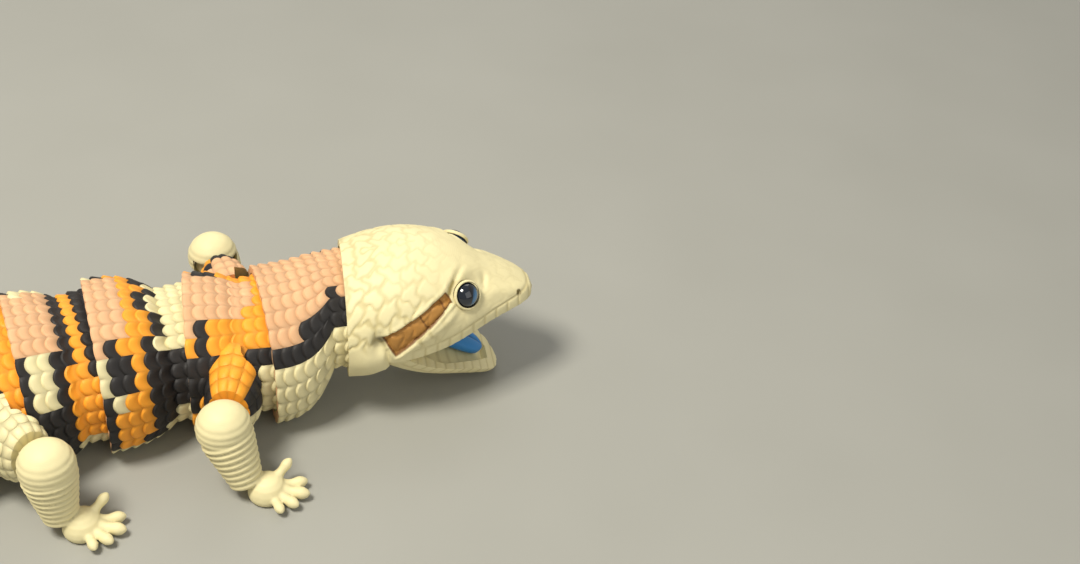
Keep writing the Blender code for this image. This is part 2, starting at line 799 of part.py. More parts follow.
def toe_piece(palm_place, angle, length):
    """One toe: thick at its knuckle, pointed at its tip, with a flat sole."""
    forward = Vector((math.cos(angle), math.sin(angle), 0))
    sidewards = Vector((-forward.y, forward.x, 0))
    rings = []
    for part, size, height in ((0, 0.9, 2.6), (0.45, 1.05, 2.6), (0.8, 0.8, 2.0), (1, 0.25, 1.2)):
        centre = palm_place + forward * (3.5 * MM + length * part)
        points = []
        for u, v in circle((0, 0), TOE_RADIUS * size, 6):
            point = centre + sidewards * u + Vector((0, 0, height * MM + v))
            points.append(Vector((point.x, point.y, max(point.z, 0))))
        rings.append(points)
    return loft("toe", rings)


def tail_rim(index):
    """Rim of a tail piece, on an even taper from the pelvis to the end."""
    part = index / (TAIL_PIECES - 1)
    return Rim(mix(TAIL_RIM.half, TAIL_END.half, part), 0, mix(TAIL_RIM.top, TAIL_END.top, part))


def tail_pieces():
    """The tail's segments, shorter and narrower towards its tip."""
    pieces = []
    for index in range(TAIL_PIECES):
        part = index / (TAIL_PIECES - 1)
        length = mix(*TAIL_LENGTHS, part)
        heading = mix(*TAIL_HEADINGS, part)
        nose = max(NOSE * tail_rim(index).half / LINK_WIDTH, 2.6 * MM)
        rim = tail_rim(min(index + 1, TAIL_PIECES - 1))
        colour = "cream" if index % 2 else "orange"
        name = f"tail_{index + 1}"
        pieces.append(Piece(name, length, heading, rim, nose, SWING, TAIL_COLUMNS, colour))
    return pieces


def place_matrix(spot, heading):
    """Placement of a piece whose joint stands at a spot, turned to a heading in degrees."""
    return Matrix.Translation(spot) @ Matrix.Rotation(math.radians(heading), 4, "Z")


def build_limbs(carriers):
    """The four lower limbs on the stubs of the chest and the pelvis."""
    pieces = []
    for carrier, limb in LIMBS.items():
        matrix = carriers[carrier]
        for side_name, side in (("left", 1), ("right", -1)):
            wrist = (limb.wrist[0], limb.wrist[1] * side)
            inward = -limb_direction(limb, side)
            leg = build_leg(f"{limb.name}_{side_name}", inward, wrist, limb.turn * side, side)
            spot = matrix @ Vector((limb.ahead, limb.out * side, 0))
            pieces.append((leg, place_matrix(spot, math.degrees(matrix.to_euler().z))))
    return pieces


def build():
    """Builds every piece, sets it in the bent pose and gives it its material."""
    materials = make_materials()
    pieces = list(BODY_PIECES) + tail_pieces()
    head_matrix = place_matrix(Vector((0, 0, 0)), HEAD_HEADING)
    head_group = [(build_head(pieces[0]), "cream"), (build_jaw(), "cream"), (build_tongue(), "tongue_blue"),
                  (build_eye("eye_left", 1), "eye_blue"), (build_eye("eye_right", -1), "eye_blue")]
    placed = [(piece, head_matrix, colour) for piece, colour in head_group]
    spot = Vector((0, 0, 0))
    front = HEAD_RIM
    carriers = {}
    for piece, behind in zip(pieces, pieces[1:] + [None]):
        matrix = place_matrix(spot, piece.heading)
        body = build_segment(front, piece, behind)
        carriers[piece.name] = matrix
        placed.append((body, matrix, piece.colour))
        spot = matrix @ Vector((-piece.length, 0, 0))
        front = piece.rim
    for leg, matrix in build_limbs(carriers):
        placed.append((leg, matrix, "cream"))
    for body, matrix, colour in placed:
        body.matrix_world = matrix
        body.data.materials.clear()
        body.data.materials.append(materials[colour])
    centre_on_floor([body for body, _, _ in placed])


def centre_on_floor(bodies):
    """Moves the whole toy so that the origin is under the middle of its box."""
    bpy.context.view_layer.update()
    corners = [body.matrix_world @ vertex.co for body in bodies for vertex in body.data.vertices]
    middle_x = (min(c.x for c in corners) + max(c.x for c in corners)) / 2
    middle_y = (min(c.y for c in corners) + max(c.y for c in corners)) / 2
    for body in bodies:
        body.location.x -= middle_x
        body.location.y -= middle_y


for old in list(bpy.data.objects):
    bpy.data.objects.remove(old)
build()
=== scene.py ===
"""Looks of the jointed toy skink, printed in matte cream, salmon, orange and black plastic.

Each piece is made in its own frame in millimetres, with its joint on the upright axis
through the origin and the head toward +X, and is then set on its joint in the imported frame.
"""
from __future__ import annotations

import json
import logging
import math
from dataclasses import dataclass, field
from enum import Enum
from typing import Callable, Iterable

import bmesh
import bpy
import numpy as np
from mathutils import Matrix, Vector

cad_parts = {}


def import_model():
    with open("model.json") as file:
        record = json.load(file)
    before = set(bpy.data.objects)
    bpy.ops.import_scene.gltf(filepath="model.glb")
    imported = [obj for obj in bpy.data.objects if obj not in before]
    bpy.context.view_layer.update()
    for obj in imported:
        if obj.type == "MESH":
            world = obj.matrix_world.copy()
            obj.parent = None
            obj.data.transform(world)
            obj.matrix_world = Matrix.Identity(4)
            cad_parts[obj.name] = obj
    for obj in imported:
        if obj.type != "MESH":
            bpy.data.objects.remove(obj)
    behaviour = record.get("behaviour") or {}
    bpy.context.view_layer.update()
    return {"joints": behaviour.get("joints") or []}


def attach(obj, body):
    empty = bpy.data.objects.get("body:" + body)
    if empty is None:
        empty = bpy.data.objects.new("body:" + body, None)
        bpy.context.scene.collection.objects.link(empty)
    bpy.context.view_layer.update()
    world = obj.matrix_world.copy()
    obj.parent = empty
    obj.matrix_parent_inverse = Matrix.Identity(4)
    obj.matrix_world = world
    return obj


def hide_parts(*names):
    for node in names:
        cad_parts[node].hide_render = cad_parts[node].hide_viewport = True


LOG = logging.getLogger("skink")
MM = 0.001

# Short names for type hints: a triple is a colour, a point or a direction
Piece = bpy.types.Object
Socket = bpy.types.NodeSocket
Material = bpy.types.Material
Triple = tuple[float, float, float]
Outline = list[tuple[float, float]]

# Repeatable noise: its seed, a step for each key, and the gain that breaks up its pattern
SEED = 11
NOISE_STEPS = (12.9898, 78.233, 37.719, 9.151)
NOISE_GAIN = 43758.5453

# Halvings in the search for a point on the outline of a section
HALVINGS = 40

# Shared fits, in millimetres, as in the solids
WALL = 2.0
GAP = 0.45
BACK_POWER = 2.1
BELLY_POWER = 2.6
WIDEST = 0.46
BELLY_SINK = 1.07
FLAT_SINK = 1.0
PLATE_HEIGHT = 4.8
PIN_RADIUS = 2.6
EYE_RADIUS = 5.4
SLOT_HALF = 7.2
SLOT_ROOM = 0.5
EYE_ROOM = 0.7
CUP_ROOM = 0.8
PLATE_ROOT = 1.2
PLATE_NECK = 0.75
LINK_WIDTH = 27.0


def mix(low: float, high: float, part: float) -> float:
    """Value that lies the given part of the way from low to high."""
    return low + (high - low) * part


def smooth(low: float, high: float, value: np.ndarray) -> np.ndarray:
    """Soft step from 0 at low to 1 at high."""
    part = np.clip((value - low) / (high - low), 0, 1)
    return part * part * (3 - 2 * part)


def bump(value: np.ndarray, centre: float, spread: float) -> np.ndarray:
    """Bell curve of height 1."""
    return np.exp(-((value - centre) / spread) ** 2)


def linear(red: int, green: int, blue: int) -> Triple:
    """Screen colour from 0 to 255 as a linear colour."""
    return tuple(((c / 255 + 0.055) / 1.055) ** 2.4 for c in (red, green, blue))


def scatter(*keys: np.ndarray | float) -> np.ndarray:
    """Repeatable noise from -1 to 1 for whole-number keys."""
    total = sum(np.asarray(key, dtype=float) * step for key, step in zip(keys, NOISE_STEPS))
    value = np.sin(total + SEED) * NOISE_GAIN
    return 2 * (value - np.floor(value)) - 1


def along(stations: tuple[tuple[float, ...], ...], place: float | np.ndarray) -> np.ndarray:
    """Smooth values through stations of (place, value, value ...).

    Args:
        stations: rows of a place and the values there.
        place: one place or an array of them.

    Returns:
        Array with the values in its first axis.
    """
    table = np.array(stations, dtype=float)
    places = table[:, 0]
    place = np.clip(place, places[0], places[-1])
    index = np.clip(np.searchsorted(places, place) - 1, 0, len(places) - 2)
    width = places[index + 1] - places[index]
    part = (place - places[index]) / width
    before = np.maximum(np.arange(len(places)) - 1, 0)
    after = np.minimum(np.arange(len(places)) + 1, len(places) - 1)
    values = []
    for channel in range(1, table.shape[1]):
        row = table[:, channel]
        slope = (row[after] - row[before]) / (places[after] - places[before])
        values.append(
            row[index] * (2 * part ** 3 - 3 * part ** 2 + 1)
            + slope[index] * width * (part ** 3 - 2 * part ** 2 + part)
            + row[index + 1] * (3 * part ** 2 - 2 * part ** 3)
            + slope[index + 1] * width * (part ** 3 - part ** 2)
        )
    return np.array(values)


class Nodes:
    """Adds nodes to a shader tree or to a geometry tree."""

    def __init__(self, tree: bpy.types.NodeTree) -> None:
        """Keeps the tree that is built."""
        self.tree = tree

    def node(self, kind: str, settings: dict | None = None, values: dict | None = None) -> bpy.types.Node:
        """Adds one node.

        Args:
            kind: the node's type.
            settings: properties that are set first.
            values: a value or a link for each input, by name or number.

        Returns:
            The new node.
        """
        node = self.tree.nodes.new(kind)
        for name, value in (settings or {}).items():
            setattr(node, name, value)
        for key, value in (values or {}).items():
            self.feed(node.inputs[key], value)
        return node

    def feed(self, socket: Socket, value: object) -> None:
        """Links a value that comes from a node, or sets a fixed one.

        Args:
            socket: the input.
            value: the value.
        """
        if isinstance(value, Value):
            self.tree.links.new(value.socket, socket)
        elif isinstance(value, Socket):
            self.tree.links.new(value, socket)
        else:
            socket.default_value = value

    def maths(self, operation: str, *values: object) -> Value:
        """Result of one Math node."""
        node = self.node("ShaderNodeMath", {"operation": operation}, dict(enumerate(values)))
        return Value(self, node.outputs[0])

    def blend(self, factor: object, first: object, second: object) -> Socket:
        """Colour from a Mix node."""
        node = self.node("ShaderNodeMix", {"data_type": "RGBA"}, {0: factor, 6: first, 7: second})
        return node.outputs[2]

    def cloud(self, vector: object, scale: float, detail: float) -> Socket:
        """Noise from 0 to 1."""
        node = self.node("ShaderNodeTexNoise", values={"Vector": vector, "Scale": scale, "Detail": detail})
        return node.outputs[0]


@dataclass(frozen=True)
class Value:
    """A socket that takes part in Python expressions."""

    nodes: Nodes
    socket: Socket

    def __add__(self, other: object) -> Value:
        """Sum."""
        return self.nodes.maths("ADD", self, other)

    def __sub__(self, other: object) -> Value:
        """Difference."""
        return self.nodes.maths("SUBTRACT", self, other)

    def __mul__(self, other: object) -> Value:
        """Product."""
        return self.nodes.maths("MULTIPLY", self, other)

    def __truediv__(self, other: object) -> Value:
        """Quotient."""
        return self.nodes.maths("DIVIDE", self, other)

    def __pow__(self, other: object) -> Value:
        """Power."""
        return self.nodes.maths("POWER", self, other)

    def __radd__(self, other: object) -> Value:
        """Sum with a number on the left."""
        return self.nodes.maths("ADD", other, self)

    def __rsub__(self, other: object) -> Value:
        """Difference from a number on the left."""
        return self.nodes.maths("SUBTRACT", other, self)

    def __rmul__(self, other: object) -> Value:
        """Product with a number on the left."""
        return self.nodes.maths("MULTIPLY", other, self)

    def one(self, operation: str) -> Value:
        """Math operation of this value alone, such as FRACT, ABSOLUTE or SINE."""
        return self.nodes.maths(operation, self)

    def step(self, low: float, high: float) -> Value:
        """Soft step from 0 at low to 1 at high."""
        node = self.nodes.node("ShaderNodeMapRange", {"interpolation_type": "SMOOTHSTEP"},
                               {"Value": self, "From Min": low, "From Max": high})
        return Value(self.nodes, node.outputs[0])


def attribute(nodes: Nodes, name: str, output: str = "Fac") -> Value:
    """Attribute of the mesh as a shader reads it."""
    node = nodes.node("ShaderNodeAttribute", {"attribute_name": name})
    return Value(nodes, node.outputs[output])


def new_material(name: str) -> tuple[Material, Nodes, bpy.types.Node]:
    """A material with its node builder and its main shader."""
    material = bpy.data.materials.new(name)
    material.use_nodes = True
    return material, Nodes(material.node_tree), material.node_tree.nodes["Principled BSDF"]


@dataclass(frozen=True)
class Plastic:
    """Matte printed plastic, with the faint level lines of its layers.

    Its colour is its own, with painted shade making it a little deeper in its hollows, or comes from the
    attribute "paint".
    """

    name: str
    colour: Triple
    painted: bool = False
    roughness: float = 0.56
    dark_roughness: float = 0.6
    dark_light: float = 0.25
    specular: float = 0.42
    layer: float = 0.3 * MM
    layer_relief: float = 0.04 * MM
    grain_scale: float = 1700.0
    mottle: float = 0.07
    mottle_scale: float = 260.0
    # share of the colour left by the painted shade in hollows
    hollow: float = 0.72

    def make(self) -> Material:
        """Builds the material.

        Returns:
            The finished material.
        """
        material, nodes, shader = new_material(self.name)
        colour = self.base(nodes)
        spot = nodes.node("ShaderNodeTexCoord").outputs["Object"]
        shade = nodes.node("ShaderNodeMapRange",
                           values={"Value": nodes.cloud(spot, self.mottle_scale, 3.0),
                                   "To Min": 1 - self.mottle, "To Max": 1 + self.mottle})
        tinted = nodes.node("ShaderNodeVectorMath", {"operation": "SCALE"},
                            {0: colour, "Scale": shade.outputs[0]})
        nodes.feed(shader.inputs["Base Color"], tinted.outputs[0])
        light = nodes.node("ShaderNodeRGBToBW", values={0: colour}).outputs[0]
        rough = nodes.node("ShaderNodeMapRange", values={"Value": light, "From Max": self.dark_light,
                                                         "To Min": self.dark_roughness,
                                                         "To Max": self.roughness})
        nodes.feed(shader.inputs["Roughness"], rough.outputs[0])
        shader.inputs["Specular IOR Level"].default_value = self.specular
        self.layers(nodes, shader, spot)
        return material

    def base(self, nodes: Nodes) -> Socket:
        """Colour before its mottling.

        Args:
            nodes: builder of the material's nodes.

        Returns:
            The colour.
        """
        if self.painted:
            return attribute(nodes, "paint", "Color").socket
        # painted shade: darker where the surface is hollow, judged by its pointiness
        deep = tuple(channel * self.hollow for channel in self.colour)
        height = Value(nodes, nodes.node("ShaderNodeNewGeometry").outputs["Pointiness"])
        return nodes.blend(height.step(0.42, 0.52), (*deep, 1), (*self.colour, 1))

    def layers(self, nodes: Nodes, shader: bpy.types.Node, spot: Socket) -> None:
        """Adds the layer lines and a fine grain to the shader's normal.

        Args:
            nodes: builder of the material's nodes.
            shader: the material's main shader.
            spot: place on the piece.
        """
        height = Value(nodes, nodes.node("ShaderNodeSeparateXYZ", values={0: spot}).outputs[2])
        ridge = 1 - ((height / self.layer).one("FRACT") * 2 - 1).one("ABSOLUTE")
        grain = Value(nodes, nodes.cloud(spot, self.grain_scale, 2.0))
        bumped = nodes.node("ShaderNodeBump", values={"Strength": 0.5, "Distance": self.layer_relief,
                                                      "Height": ridge * 0.6 + grain * 0.8})
        nodes.feed(shader.inputs["Normal"], bumped.outputs[0])


@dataclass(frozen=True)
class HeadPlastic(Plastic):
    """Cream plastic with the brown temple patch and dark seams, with painted shade along the engraved lines,
    in the fold over the eye and in the pits of the head.
    """

    brown: Triple = linear(182, 130, 62)
    seam: Triple = linear(104, 66, 30)
    # colour of the painted shade in the nostrils, the ears and the gap round each eye
    pit: Triple = linear(70, 56, 34)
    # colour of the painted shade along the engraved lines and in the fold over the eye
    line: Triple = linear(178, 160, 96)
    strength: float = 0.75

    def base(self, nodes: Nodes) -> Socket:
        """Cream, under the painted shade of the engraved lines and the fold over the eye, the temple patch,
        and the painted shade of the pits.

        Args:
            nodes: builder of the material's nodes.

        Returns:
            The colour.
        """
        line, edge, cross, dark = (attribute(nodes, name) for name in ("line", "temple", "cross", "pit"))
        # painted shade: darker along the engraved lines and in the fold over the eye
        colour = nodes.blend(line * self.strength, (*self.colour, 1), (*self.line, 1))
        colour = nodes.blend(edge.step(-0.08, 0.08), colour, (*self.brown, 1))
        rim = 1 - (edge - 0.12).one("ABSOLUTE").step(0.12, 0.42)
        seams = (1 - cross.step(0.12, 0.4)) * edge.step(0, 0.1)
        shown = nodes.maths("MAXIMUM", rim, seams) * self.strength
        colour = nodes.blend(shown, colour, (*self.seam, 1))
        # painted shade: darkest in the nostrils, the ears and the gap round each eye
        return nodes.blend(dark, colour, (*self.pit, 1))


@dataclass(frozen=True)
class EyeGlass:
    """Domed blue glass over an iris with an upright slit, with painted light and shade: the iris shows blue
    on its lower front side and dark toward the top and rear.

    The attribute "gaze" holds the direction from the middle of the eye: forward, up and out.
    """

    name: str = "eye_glass"
    iris: Triple = linear(66, 124, 170)
    # colour of the side of the glass that the painted shade leaves dark
    deep: Triple = linear(10, 20, 32)
    slit: Triple = linear(6, 8, 12)
    slit_half: float = 0.13
    roughness: float = 0.08
    coat_roughness: float = 0.03

    def make(self) -> Material:
        """Builds the material.

        Returns:
            The finished material.
        """
        material, nodes, shader = new_material(self.name)
        gaze = attribute(nodes, "gaze", "Vector").socket
        parts = nodes.node("ShaderNodeSeparateXYZ", values={0: gaze})
        ahead, up, out = (Value(nodes, parts.outputs[i]) for i in range(3))
        far = (ahead * ahead + up * up).one("SQRT")
        rays = Value(nodes, nodes.cloud(gaze, 9.0, 4.0)) - 0.5
        edge = (far + rays * 0.4).step(0.42, 0.86)
        # painted light and shade: blue on the lower front side of the iris, dark toward the top and rear
        painted_light_side = (ahead * 0.9 - up * 0.35).step(0.0, 0.42) * (1 - edge * 0.9)
        colour = nodes.blend(painted_light_side, (*self.deep, 1), (*self.iris, 1))
        width = (1 - nodes.maths("MINIMUM", up * up * 1.9, 1.0)) ** 0.5 * self.slit_half
        slit = 1 - (ahead.one("ABSOLUTE") - width).step(-0.03, 0.03)
        colour = nodes.blend(slit * out.step(-0.1, 0.1), colour, (*self.slit, 1))
        nodes.feed(shader.inputs["Base Color"], colour)
        shader.inputs["Roughness"].default_value = self.roughness
        shader.inputs["Coat Weight"].default_value = 1.0
        shader.inputs["Coat Roughness"].default_value = self.coat_roughness
        return material


@dataclass(frozen=True)
class TonguePlastic:
    """Satin blue plastic, with painted shade darker in the groove."""

    name: str = "tongue_blue"
    colour: Triple = linear(52, 134, 204)
    # colour of the painted shade in the groove
    deep: Triple = linear(26, 84, 150)
    roughness: float = 0.38
    cloud_scale: float = 420.0
    relief: float = 0.06 * MM

    def make(self) -> Material:
        """Builds the material.

        Returns:
            The finished material.
        """
        material, nodes, shader = new_material(self.name)
        groove = attribute(nodes, "groove")
        spot = nodes.node("ShaderNodeTexCoord").outputs["Object"]
        cloud = nodes.cloud(spot, self.cloud_scale, 3.0)
        # painted shade in the groove, broken up by a random cloud
        groove_shade_and_mottle = (groove + (Value(nodes, cloud) - 0.5) * 0.35).step(0.1, 1.0)
        nodes.feed(shader.inputs["Base Color"], nodes.blend(groove_shade_and_mottle, (*self.colour, 1), (*self.deep, 1)))
        shader.inputs["Roughness"].default_value = self.roughness
        bumped = nodes.node("ShaderNodeBump", values={"Strength": 0.4, "Distance": self.relief,
                                                      "Height": cloud})
        nodes.feed(shader.inputs["Normal"], bumped.outputs[0])
        return material


class Tone(Enum):
    """Colours of plastic that a scale may have."""

    CREAM = linear(231, 220, 172)
    SALMON = linear(225, 178, 134)
    ORANGE = linear(250, 166, 48)
    BLACK = linear(38, 36, 36)


@dataclass(frozen=True)
class Band:
    """A band of one colour over a segment.

    The edges are (angle from the top in degrees, front, rear), with front and rear as parts
    of the segment's length, and run straight between those angles. The side is 1 for a band
    on the left only, -1 for one on the right only, and 0 for both.
    """

    tone: Tone
    edges: tuple[Triple, ...]
    side: int = 0

    def covers(self, angle: np.ndarray, place: np.ndarray, side: np.ndarray) -> np.ndarray:
        """True where a scale at an angle, a place and a side has the band's colour.

        Args:
            angle: angle from the top in degrees.
            place: part of the segment's length.
            side: 1 on the left, -1 on the right.

        Returns:
            Array of truth values.
        """
        table = np.array(self.edges)
        front = np.interp(angle, table[:, 0], table[:, 1])
        rear = np.interp(angle, table[:, 0], table[:, 2])
        within = (angle >= table[0, 0]) & (angle <= table[-1, 0]) & (place >= front) & (place < rear)
        return within & (side * self.side >= 0)


@dataclass(frozen=True)
class Rim:
    """Outer section of a piece: half width, underside and top."""

    half: float
    under: float
    top: float

    @property
    def middle(self) -> float:
        """Height at which the section is widest."""
        return mix(self.under, self.top, WIDEST)

    @property
    def link(self) -> float:
        """Size of the section's link beside that of the widest one."""
        return min(1.0, self.half / LINK_WIDTH)

    def inset(self, depth: float) -> Rim:
        """The section moved inwards on all sides."""
        return Rim(self.half - depth, self.under + depth, self.top - depth)

    def ring(self, angles: np.ndarray, ahead: float = 0.0, place: float | None = None) -> np.ndarray:
        """Points of the section turned about the upright axis, cut this far from it.

        Args:
            angles: directions from the middle, from the top round toward +Y.
            ahead: distance of the cutting plane from the axis.
            place: X of the points, where it isn't the same distance.

        Returns:
            Array of one point for each angle.
        """
        near = np.zeros_like(angles)
        far = np.full_like(angles, 2 * self.half)
        for _ in range(HALVINGS):
            reach = (near + far) / 2
            across = np.hypot(reach * np.sin(angles), ahead) / self.half
            up = reach * np.cos(angles)
            lower = -up / ((self.middle - self.under) * BELLY_SINK)
            rise = np.where(up > 0, up / (self.top - self.middle), lower)
            power = np.where(up > 0, BACK_POWER, BELLY_POWER)
            inner = (rise ** power + across ** power < 1) & (self.middle + up >= self.under)
            near = np.where(inner, reach, near)
            far = np.where(inner, far, reach)
        x = np.full_like(angles, ahead if place is None else place)
        return np.stack((x, near * np.sin(angles), self.middle + near * np.cos(angles)), axis=-1)


def around(count: int) -> np.ndarray:
    """Evenly spread angles of a full turn."""
    return np.arange(count) * (math.tau / count)


def new_object(name: str, data: bpy.types.ID) -> Piece:
    """Links a mesh, a light or a camera to the scene."""
    piece = bpy.data.objects.new(name, data)
    bpy.context.scene.collection.objects.link(piece)
    return piece


def object_from(bm: bmesh.types.BMesh, name: str = "tool") -> Piece:
    """Makes an object of a mesh under construction, and frees the latter.

    Args:
        bm: the mesh.
        name: name of the object.

    Returns:
        The object.
    """
    mesh = bpy.data.meshes.new(name)
    bm.to_mesh(mesh)
    bm.free()
    return new_object(name, mesh)


def shell(name: str, rings: np.ndarray) -> Piece:
    """Closed skin over rings of points, with a fan over each end.

    Args:
        name: name of the object.
        rings: array of rings by points by coordinates.

    Returns:
        The new object. Its faces are the quads ring by ring, then the first and the last fan.
    """
    count, sides = rings.shape[:2]
    points = np.concatenate((rings.reshape(-1, 3), rings[0].mean(0)[None], rings[-1].mean(0)[None]))
    first = np.arange(sides)
    second = (first + 1) % sides
    quads = []
    for row in range(count - 1):
        low, high = row * sides, (row + 1) * sides
        quads += np.stack((low + first, low + second, high + second, high + first), axis=-1).tolist()
    hub = count * sides
    last = (count - 1) * sides
    fans = [[hub, b, a] for a, b in zip(first, second)]
    fans += [[hub + 1, last + a, last + b] for a, b in zip(first, second)]
    mesh = bpy.data.meshes.new(name)
    mesh.from_pydata(points.tolist(), [], quads + fans)
    face_outwards(mesh)
    return new_object(name, mesh)


def face_outwards(mesh: bpy.types.Mesh) -> None:
    """Turns a closed mesh the right way round if its volume comes out negative.

    Args:
        mesh: the mesh.
    """
    bm = bmesh.new()
    bm.from_mesh(mesh)
    if bm.calc_volume(signed=True) < 0:
        bmesh.ops.reverse_faces(bm, faces=bm.faces)
    bm.to_mesh(mesh)
    bm.free()


def store(mesh: bpy.types.Mesh, name: str, values: np.ndarray, kind: str = "FLOAT",
          domain: str = "POINT") -> None:
    """Writes an attribute of a mesh.

    Args:
        mesh: the mesh.
        name: name of the attribute.
        values: its values.
        kind: its type.
        domain: what carries it.
    """
    data = mesh.attributes.new(name, kind, domain).data
    field_name = {"FLOAT": "value", "FLOAT_VECTOR": "vector", "FLOAT_COLOR": "color"}[kind]
    data.foreach_set(field_name, np.ascontiguousarray(values, dtype=np.float32).ravel())


def store_paint(mesh: bpy.types.Mesh, colours: np.ndarray) -> None:
    """Writes the colour of each corner of a mesh."""
    full = np.concatenate((colours, np.ones((len(colours), 1))), axis=1)
    store(mesh, "paint", full, "FLOAT_COLOR", "CORNER")


def points_of(mesh: bpy.types.Mesh) -> np.ndarray:
    """The mesh's points as an array."""
    flat = np.empty(len(mesh.vertices) * 3)
    mesh.vertices.foreach_get("co", flat)
    return flat.reshape(-1, 3)


def apply_modifiers(piece: Piece) -> None:
    """Turns an object's modifiers into plain mesh.

    Args:
        piece: the object.
    """
    graph = bpy.context.evaluated_depsgraph_get()
    mesh = bpy.data.meshes.new_from_object(piece.evaluated_get(graph))
    piece.modifiers.clear()
    piece.data = mesh


class Joinery(Enum):
    """Ways in which a tool works on a body."""

    ADD = "UNION"
    CUT = "DIFFERENCE"
    KEEP = "INTERSECT"


def work(body: Piece, tool: Piece, way: Joinery) -> None:
    """Applies one tool to a body and removes the tool.

    Args:
        body: the body.
        tool: the tool.
        way: what the tool does to the body.
    """
    if "paint" in body.data.attributes and "paint" not in tool.data.attributes:
        store_paint(tool.data, np.tile(Tone.CREAM.value, (len(tool.data.loops), 1)))
    modifier = body.modifiers.new("Tool", "BOOLEAN")
    modifier.operation = way.value
    modifier.solver = "EXACT"
    modifier.object = tool
    apply_modifiers(body)
    bpy.data.objects.remove(tool)


def prism(outline: Outline, low: float, high: float, place: Callable[[float, float, float], tuple]) -> Piece:
    """Solid of a plane outline between two levels.

    Args:
        outline: its points.
        low: the first level.
        high: the second level.
        place: gives the spot for a point of the outline and a level.

    Returns:
        The solid.
    """
    rings = np.array([[place(u, v, w) for u, v in outline] for w in (low, high)], dtype=float)
    bm = bmesh.new()
    rows = [[bm.verts.new(point) for point in ring] for ring in rings]
    for i, start in enumerate(rows[0]):
        j = (i + 1) % len(outline)
        bm.faces.new((start, rows[0][j], rows[1][j], rows[1][i]))
    bm.faces.new(rows[0])
    bm.faces.new(rows[1])
    bmesh.ops.recalc_face_normals(bm, faces=bm.faces)
    return object_from(bm)


def upright(u: float, v: float, w: float) -> Triple:
    """Outline in plan, extruded upwards."""
    return (u, v, w)


def sideways(u: float, v: float, w: float) -> Triple:
    """Outline seen from the side, extruded across."""
    return (u, w, v)


def circle(centre: tuple[float, float], radius: float, sides: int = 40,
           start: float = 0.0, end: float = math.tau) -> Outline:
    """Points on a circle, or on a part of it with both ends.

    Args:
        centre: its middle.
        radius: its radius.
        sides: number of points.
        start: first angle.
        end: last angle.

    Returns:
        List of the points.
    """
    steps = sides if abs(end - start - math.tau) < 1e-6 else sides - 1
    angles = [start + (end - start) * i / steps for i in range(sides)]
    return [(centre[0] + radius * math.cos(a), centre[1] + radius * math.sin(a)) for a in angles]


@dataclass(frozen=True)
class Placement:
    """Where a piece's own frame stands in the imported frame."""

    spot: tuple[float, float]
    heading: float

    @property
    def matrix(self) -> Matrix:
        """Matrix from the piece's millimetres to the frame's metres."""
        move = Matrix.Translation((*self.spot, 0))
        return move @ Matrix.Rotation(math.radians(self.heading), 4, "Z") @ Matrix.Scale(MM, 4)


def hand_over(piece: Piece, placement: Placement, node: str, body: str, slot: str,
              material: Material, crease: float = 34.0) -> None:
    """Sets a finished piece in the frame in place of its solid.

    Args:
        piece: the piece in its own frame.
        placement: where that frame stands.
        node: the solid that it stands for.
        body: the body that it moves with.
        slot: the material slot of its finish; not used.
        material: its finish.
        crease: angle in degrees from which an edge stays sharp.
    """
    mesh = piece.data
    mesh.transform(placement.matrix)
    mesh.materials.clear()
    mesh.materials.append(material)
    mesh.shade_smooth()
    mesh.set_sharp_from_angle(angle=math.radians(crease))
    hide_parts(node)
    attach(piece, body)
    LOG.info("%s: %d faces on %s", piece.name, len(mesh.polygons), body)


class Rule:
    """Geometry nodes with named inputs, which are run on a piece and give it its finish."""

    def __init__(self, name: str, inputs: tuple[tuple[str, str], ...]) -> None:
        """Makes the tree.

        Args:
            name: name of the tree.
            inputs: name and kind of each input, besides the mesh and the finish.
        """
        self.tree = bpy.data.node_groups.new(name, "GeometryNodeTree")
        face = self.tree.interface
        face.new_socket("Geometry", in_out="INPUT", socket_type="NodeSocketGeometry")
        self.sockets = {}
        for label, kind in inputs + (("Finish", "Material"),):
            item = face.new_socket(label, in_out="INPUT", socket_type=f"NodeSocket{kind}")
            self.sockets[label] = item.identifier
        face.new_socket("Geometry", in_out="OUTPUT", socket_type="NodeSocketGeometry")
        self.nodes = Nodes(self.tree)
        self.given = self.nodes.node("NodeGroupInput").outputs

    def inputs(self, *names: str) -> list[Value]:
        """Inputs of the tree for use in expressions."""
        return [Value(self.nodes, self.given[name]) for name in names]

    def tube(self, line: Socket, steps: int, radius: Callable[[Value], Value], sides: int) -> Socket:
        """Closed round bar along a line.

        Args:
            line: the line.
            steps: points along it.
            radius: rule for the radius at a part of its length.
            sides: sides of the bar.

        Returns:
            The bar's geometry.
        """
        fine = self.nodes.node("GeometryNodeResampleCurve", values={"Curve": line, "Count": steps})
        part = Value(self.nodes, self.nodes.node("GeometryNodeSplineParameter").outputs["Factor"])
        loop = self.nodes.node("GeometryNodeCurvePrimitiveCircle",
                               values={"Resolution": sides, "Radius": 1.0})
        bar = self.nodes.node("GeometryNodeCurveToMesh",
                              values={"Curve": fine.outputs[0], "Scale": radius(part),
                                      "Profile Curve": loop.outputs[0], "Fill Caps": True})
        return bar.outputs[0]

    def close(self, geometry: Socket) -> None:
        """Ends the tree in Realize Instances and Set Material.

        Args:
            geometry: what the tree has made.
        """
        whole = self.nodes.node("GeometryNodeRealizeInstances", values={"Geometry": geometry})
        dressed = self.nodes.node("GeometryNodeSetMaterial",
                                  values={"Geometry": whole.outputs[0], "Material": self.given["Finish"]})
        self.nodes.node("NodeGroupOutput", values={0: dressed.outputs[0]})

    def run(self, piece: Piece, **values: object) -> None:
        """Turns a piece into what the tree makes of it.

        Args:
            piece: the piece.
            values: the value of each named input.
        """
        modifier = piece.modifiers.new("Rule", "NODES")
        modifier.node_group = self.tree
        for name, value in values.items():
            modifier[self.sockets[name]] = value
        apply_modifiers(piece)


